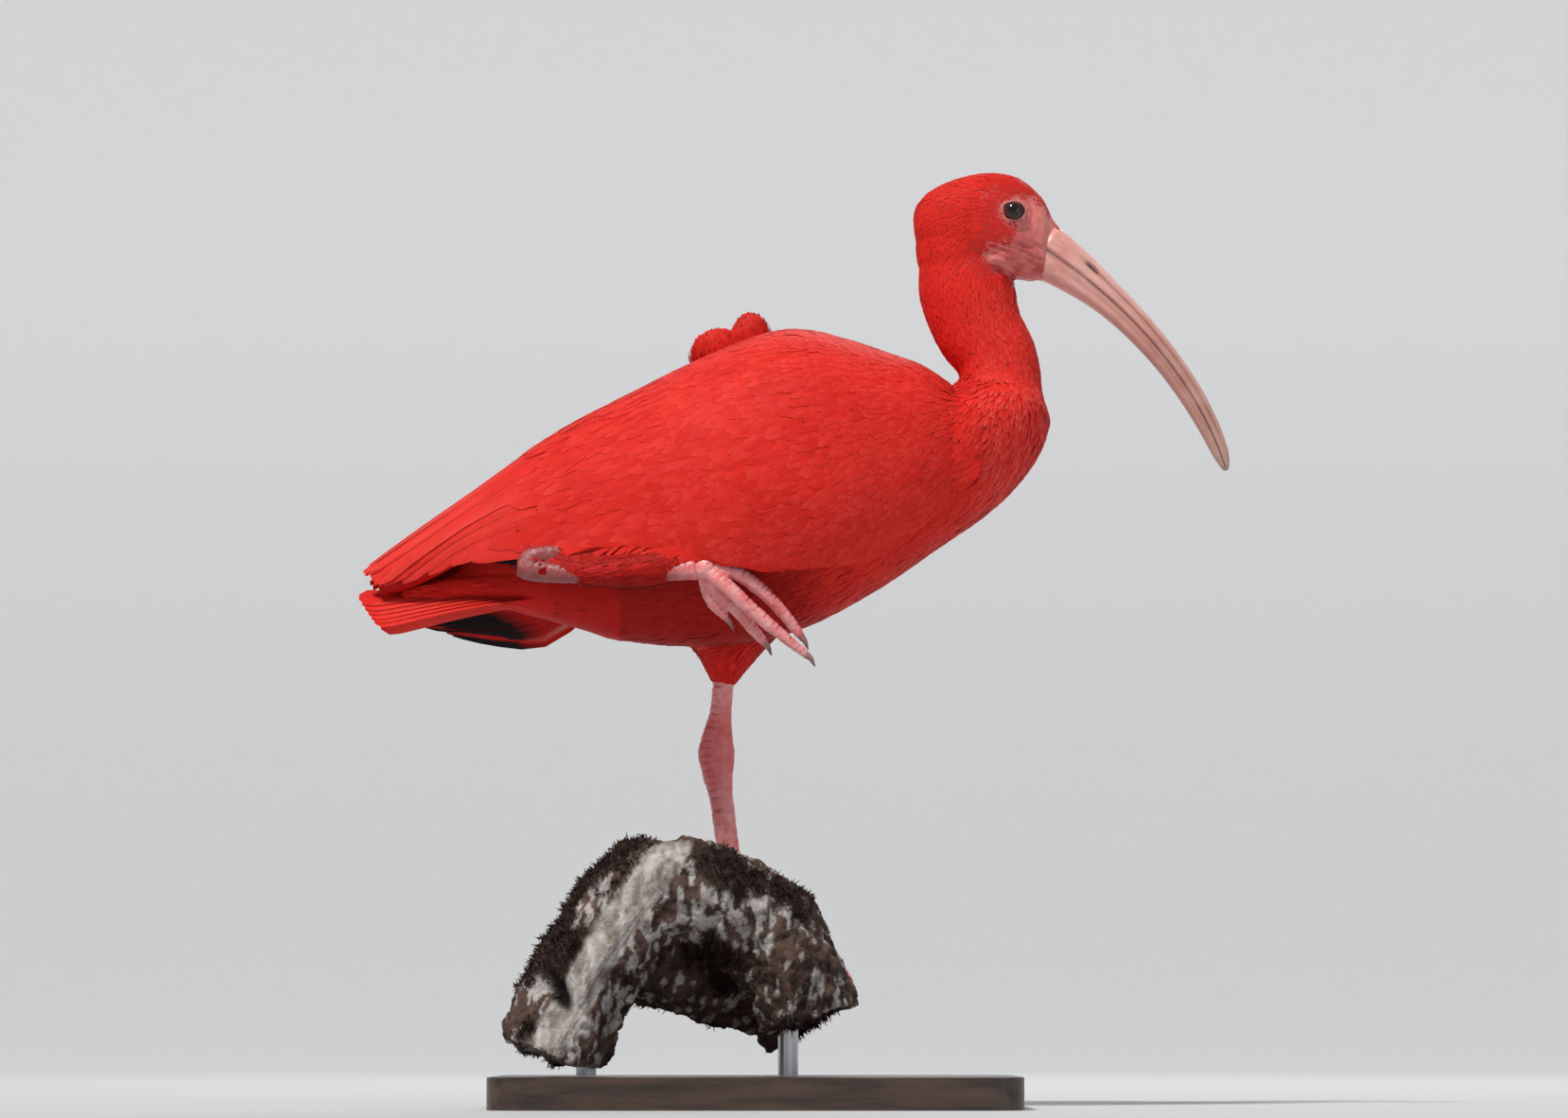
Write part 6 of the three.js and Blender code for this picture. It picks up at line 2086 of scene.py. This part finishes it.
@dataclass
class Studio:
    """The pale ground, the soft lights and the camera."""

    target: tuple[float, float, float] = (12.2, 0.0, 242.3)
    elevation: float = math.radians(-5.5)
    distance: float = 2200.0
    frame_width: float = 696.0
    sensor: float = 36.0
    key_from: tuple[float, float, float] = (-800.0, -1150.0, 1900.0)
    key_strength: float = 3.05
    ambient: float = 0.34
    ground_light: float = 0.60

    def ground(self) -> None:
        """A floor that curves up into a backdrop."""
        reach, turn_at, radius, columns = 5500, 3000, 900, 41
        across = np.linspace(-reach, reach, columns)
        turns = np.linspace(0, math.pi / 2, 16)[1:]
        floor = [(y, 0.0) for y in (-5200.0, *np.linspace(-4600, turn_at, 40))]
        bend = [(turn_at + radius * math.sin(t), radius - radius * math.cos(t)) for t in turns]
        wall = [(turn_at + radius, z) for z in np.linspace(1000, 4600, 12)]
        rows = np.array(floor + bend + wall, float)
        grid = np.stack(np.broadcast_arrays(across, rows[:, :1], rows[:, 1:]), -1)
        i, j = np.meshgrid(np.arange(len(rows) - 1), np.arange(columns - 1), indexing="ij")
        a = i * columns + j
        quads = np.stack([a, a + 1, a + columns + 1, a + columns], -1).reshape(-1, 4)
        shape = Shape(grid.reshape(-1, 3), quads)
        facing = normals_of(shape) @ unit(np.array(self.key_from))
        shade = self.ground_light / (self.key_strength * facing / math.pi + self.ambient)
        shape.tint = shade[:, None] * np.array([0.98, 1.0, 1.02])
        sheet = put("ground", make_mesh("ground", shape))
        sheet.data.materials.append(PAPER.material())

    def light(self, name: str, at: Sequence[float], size: float, power: float, colour: Colour) -> None:
        """A soft square light that faces the bird."""
        data = bpy.data.lights.new(name, "AREA")
        data.shape = "SQUARE"
        data.size = size * MM
        data.energy = power
        data.color = colour
        lamp = put(name, data)
        lamp.location = Vector(at) * MM
        aim = Vector(self.target) * MM - lamp.location
        lamp.rotation_euler = aim.to_track_quat("-Z", "Y").to_euler()

    def key(self) -> None:
        """The key light: a broad sun from above and in front, on the tail's side."""
        data = bpy.data.lights.new("key", "SUN")
        data.angle = math.radians(9)
        data.energy = self.key_strength
        data.color = (1.0, 0.97, 0.93)
        lamp = put("key", data)
        lamp.location = Vector(self.key_from) * MM
        lamp.rotation_euler = Vector(self.key_from).to_track_quat("Z", "Y").to_euler()

    def camera(self) -> None:
        """The camera, at the photograph's angle, just above the floor."""
        data = bpy.data.cameras.new("camera")
        data.sensor_fit = "HORIZONTAL"
        data.sensor_width = self.sensor
        data.lens = self.sensor * self.distance / self.frame_width
        data.clip_end = 20.0
        lens = put("camera", data)
        back = Vector((0, -math.cos(self.elevation), math.sin(self.elevation)))
        lens.location = (Vector(self.target) + back * self.distance) * MM
        lens.rotation_euler = (-back).to_track_quat("-Z", "Y").to_euler()
        bpy.context.scene.camera = lens

    def world(self) -> None:
        """A pale even sky."""
        world = bpy.data.worlds.new("pale_sky")
        world.use_nodes = True
        sky = world.node_tree.nodes["Background"]
        sky.inputs["Color"].default_value = (0.80, 0.84, 0.90, 1.0)
        sky.inputs["Strength"].default_value = self.ambient
        bpy.context.scene.world = world
        bpy.context.scene.view_settings.view_transform = "Standard"
        bpy.context.scene.view_settings.look = "None"

    def build(self) -> None:
        """Sets up everything that isn't part of the bird or its perch."""
        self.ground()
        self.world()
        self.key()
        self.light("fill", (1500, -1400, 600), 1200, 4, (0.92, 0.96, 1.0))
        self.light("back", (300, 1300, 1500), 900, 9, (1.0, 0.98, 0.96))
        self.camera()


def main() -> None:
    """Loads the frame, dresses the bird and its stand, and finishes the scene."""
    logging.basicConfig(level=logging.INFO, format="%(name)s: %(message)s")
    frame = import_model()
    nodes = frame["nodes"]
    skin = Skin()
    skin.build()
    skin.dress()
    chart = WingChart()
    Coat(skin, chart).dress()
    Wings(chart).dress(skin.body)
    Tail().dress()
    Bill().dress()
    Eyes().dress()
    Claws(skin).dress()
    Perch(nodes).dress()
    Stand(nodes).dress()
    Studio().build()


if __name__ == "__main__":
    main()
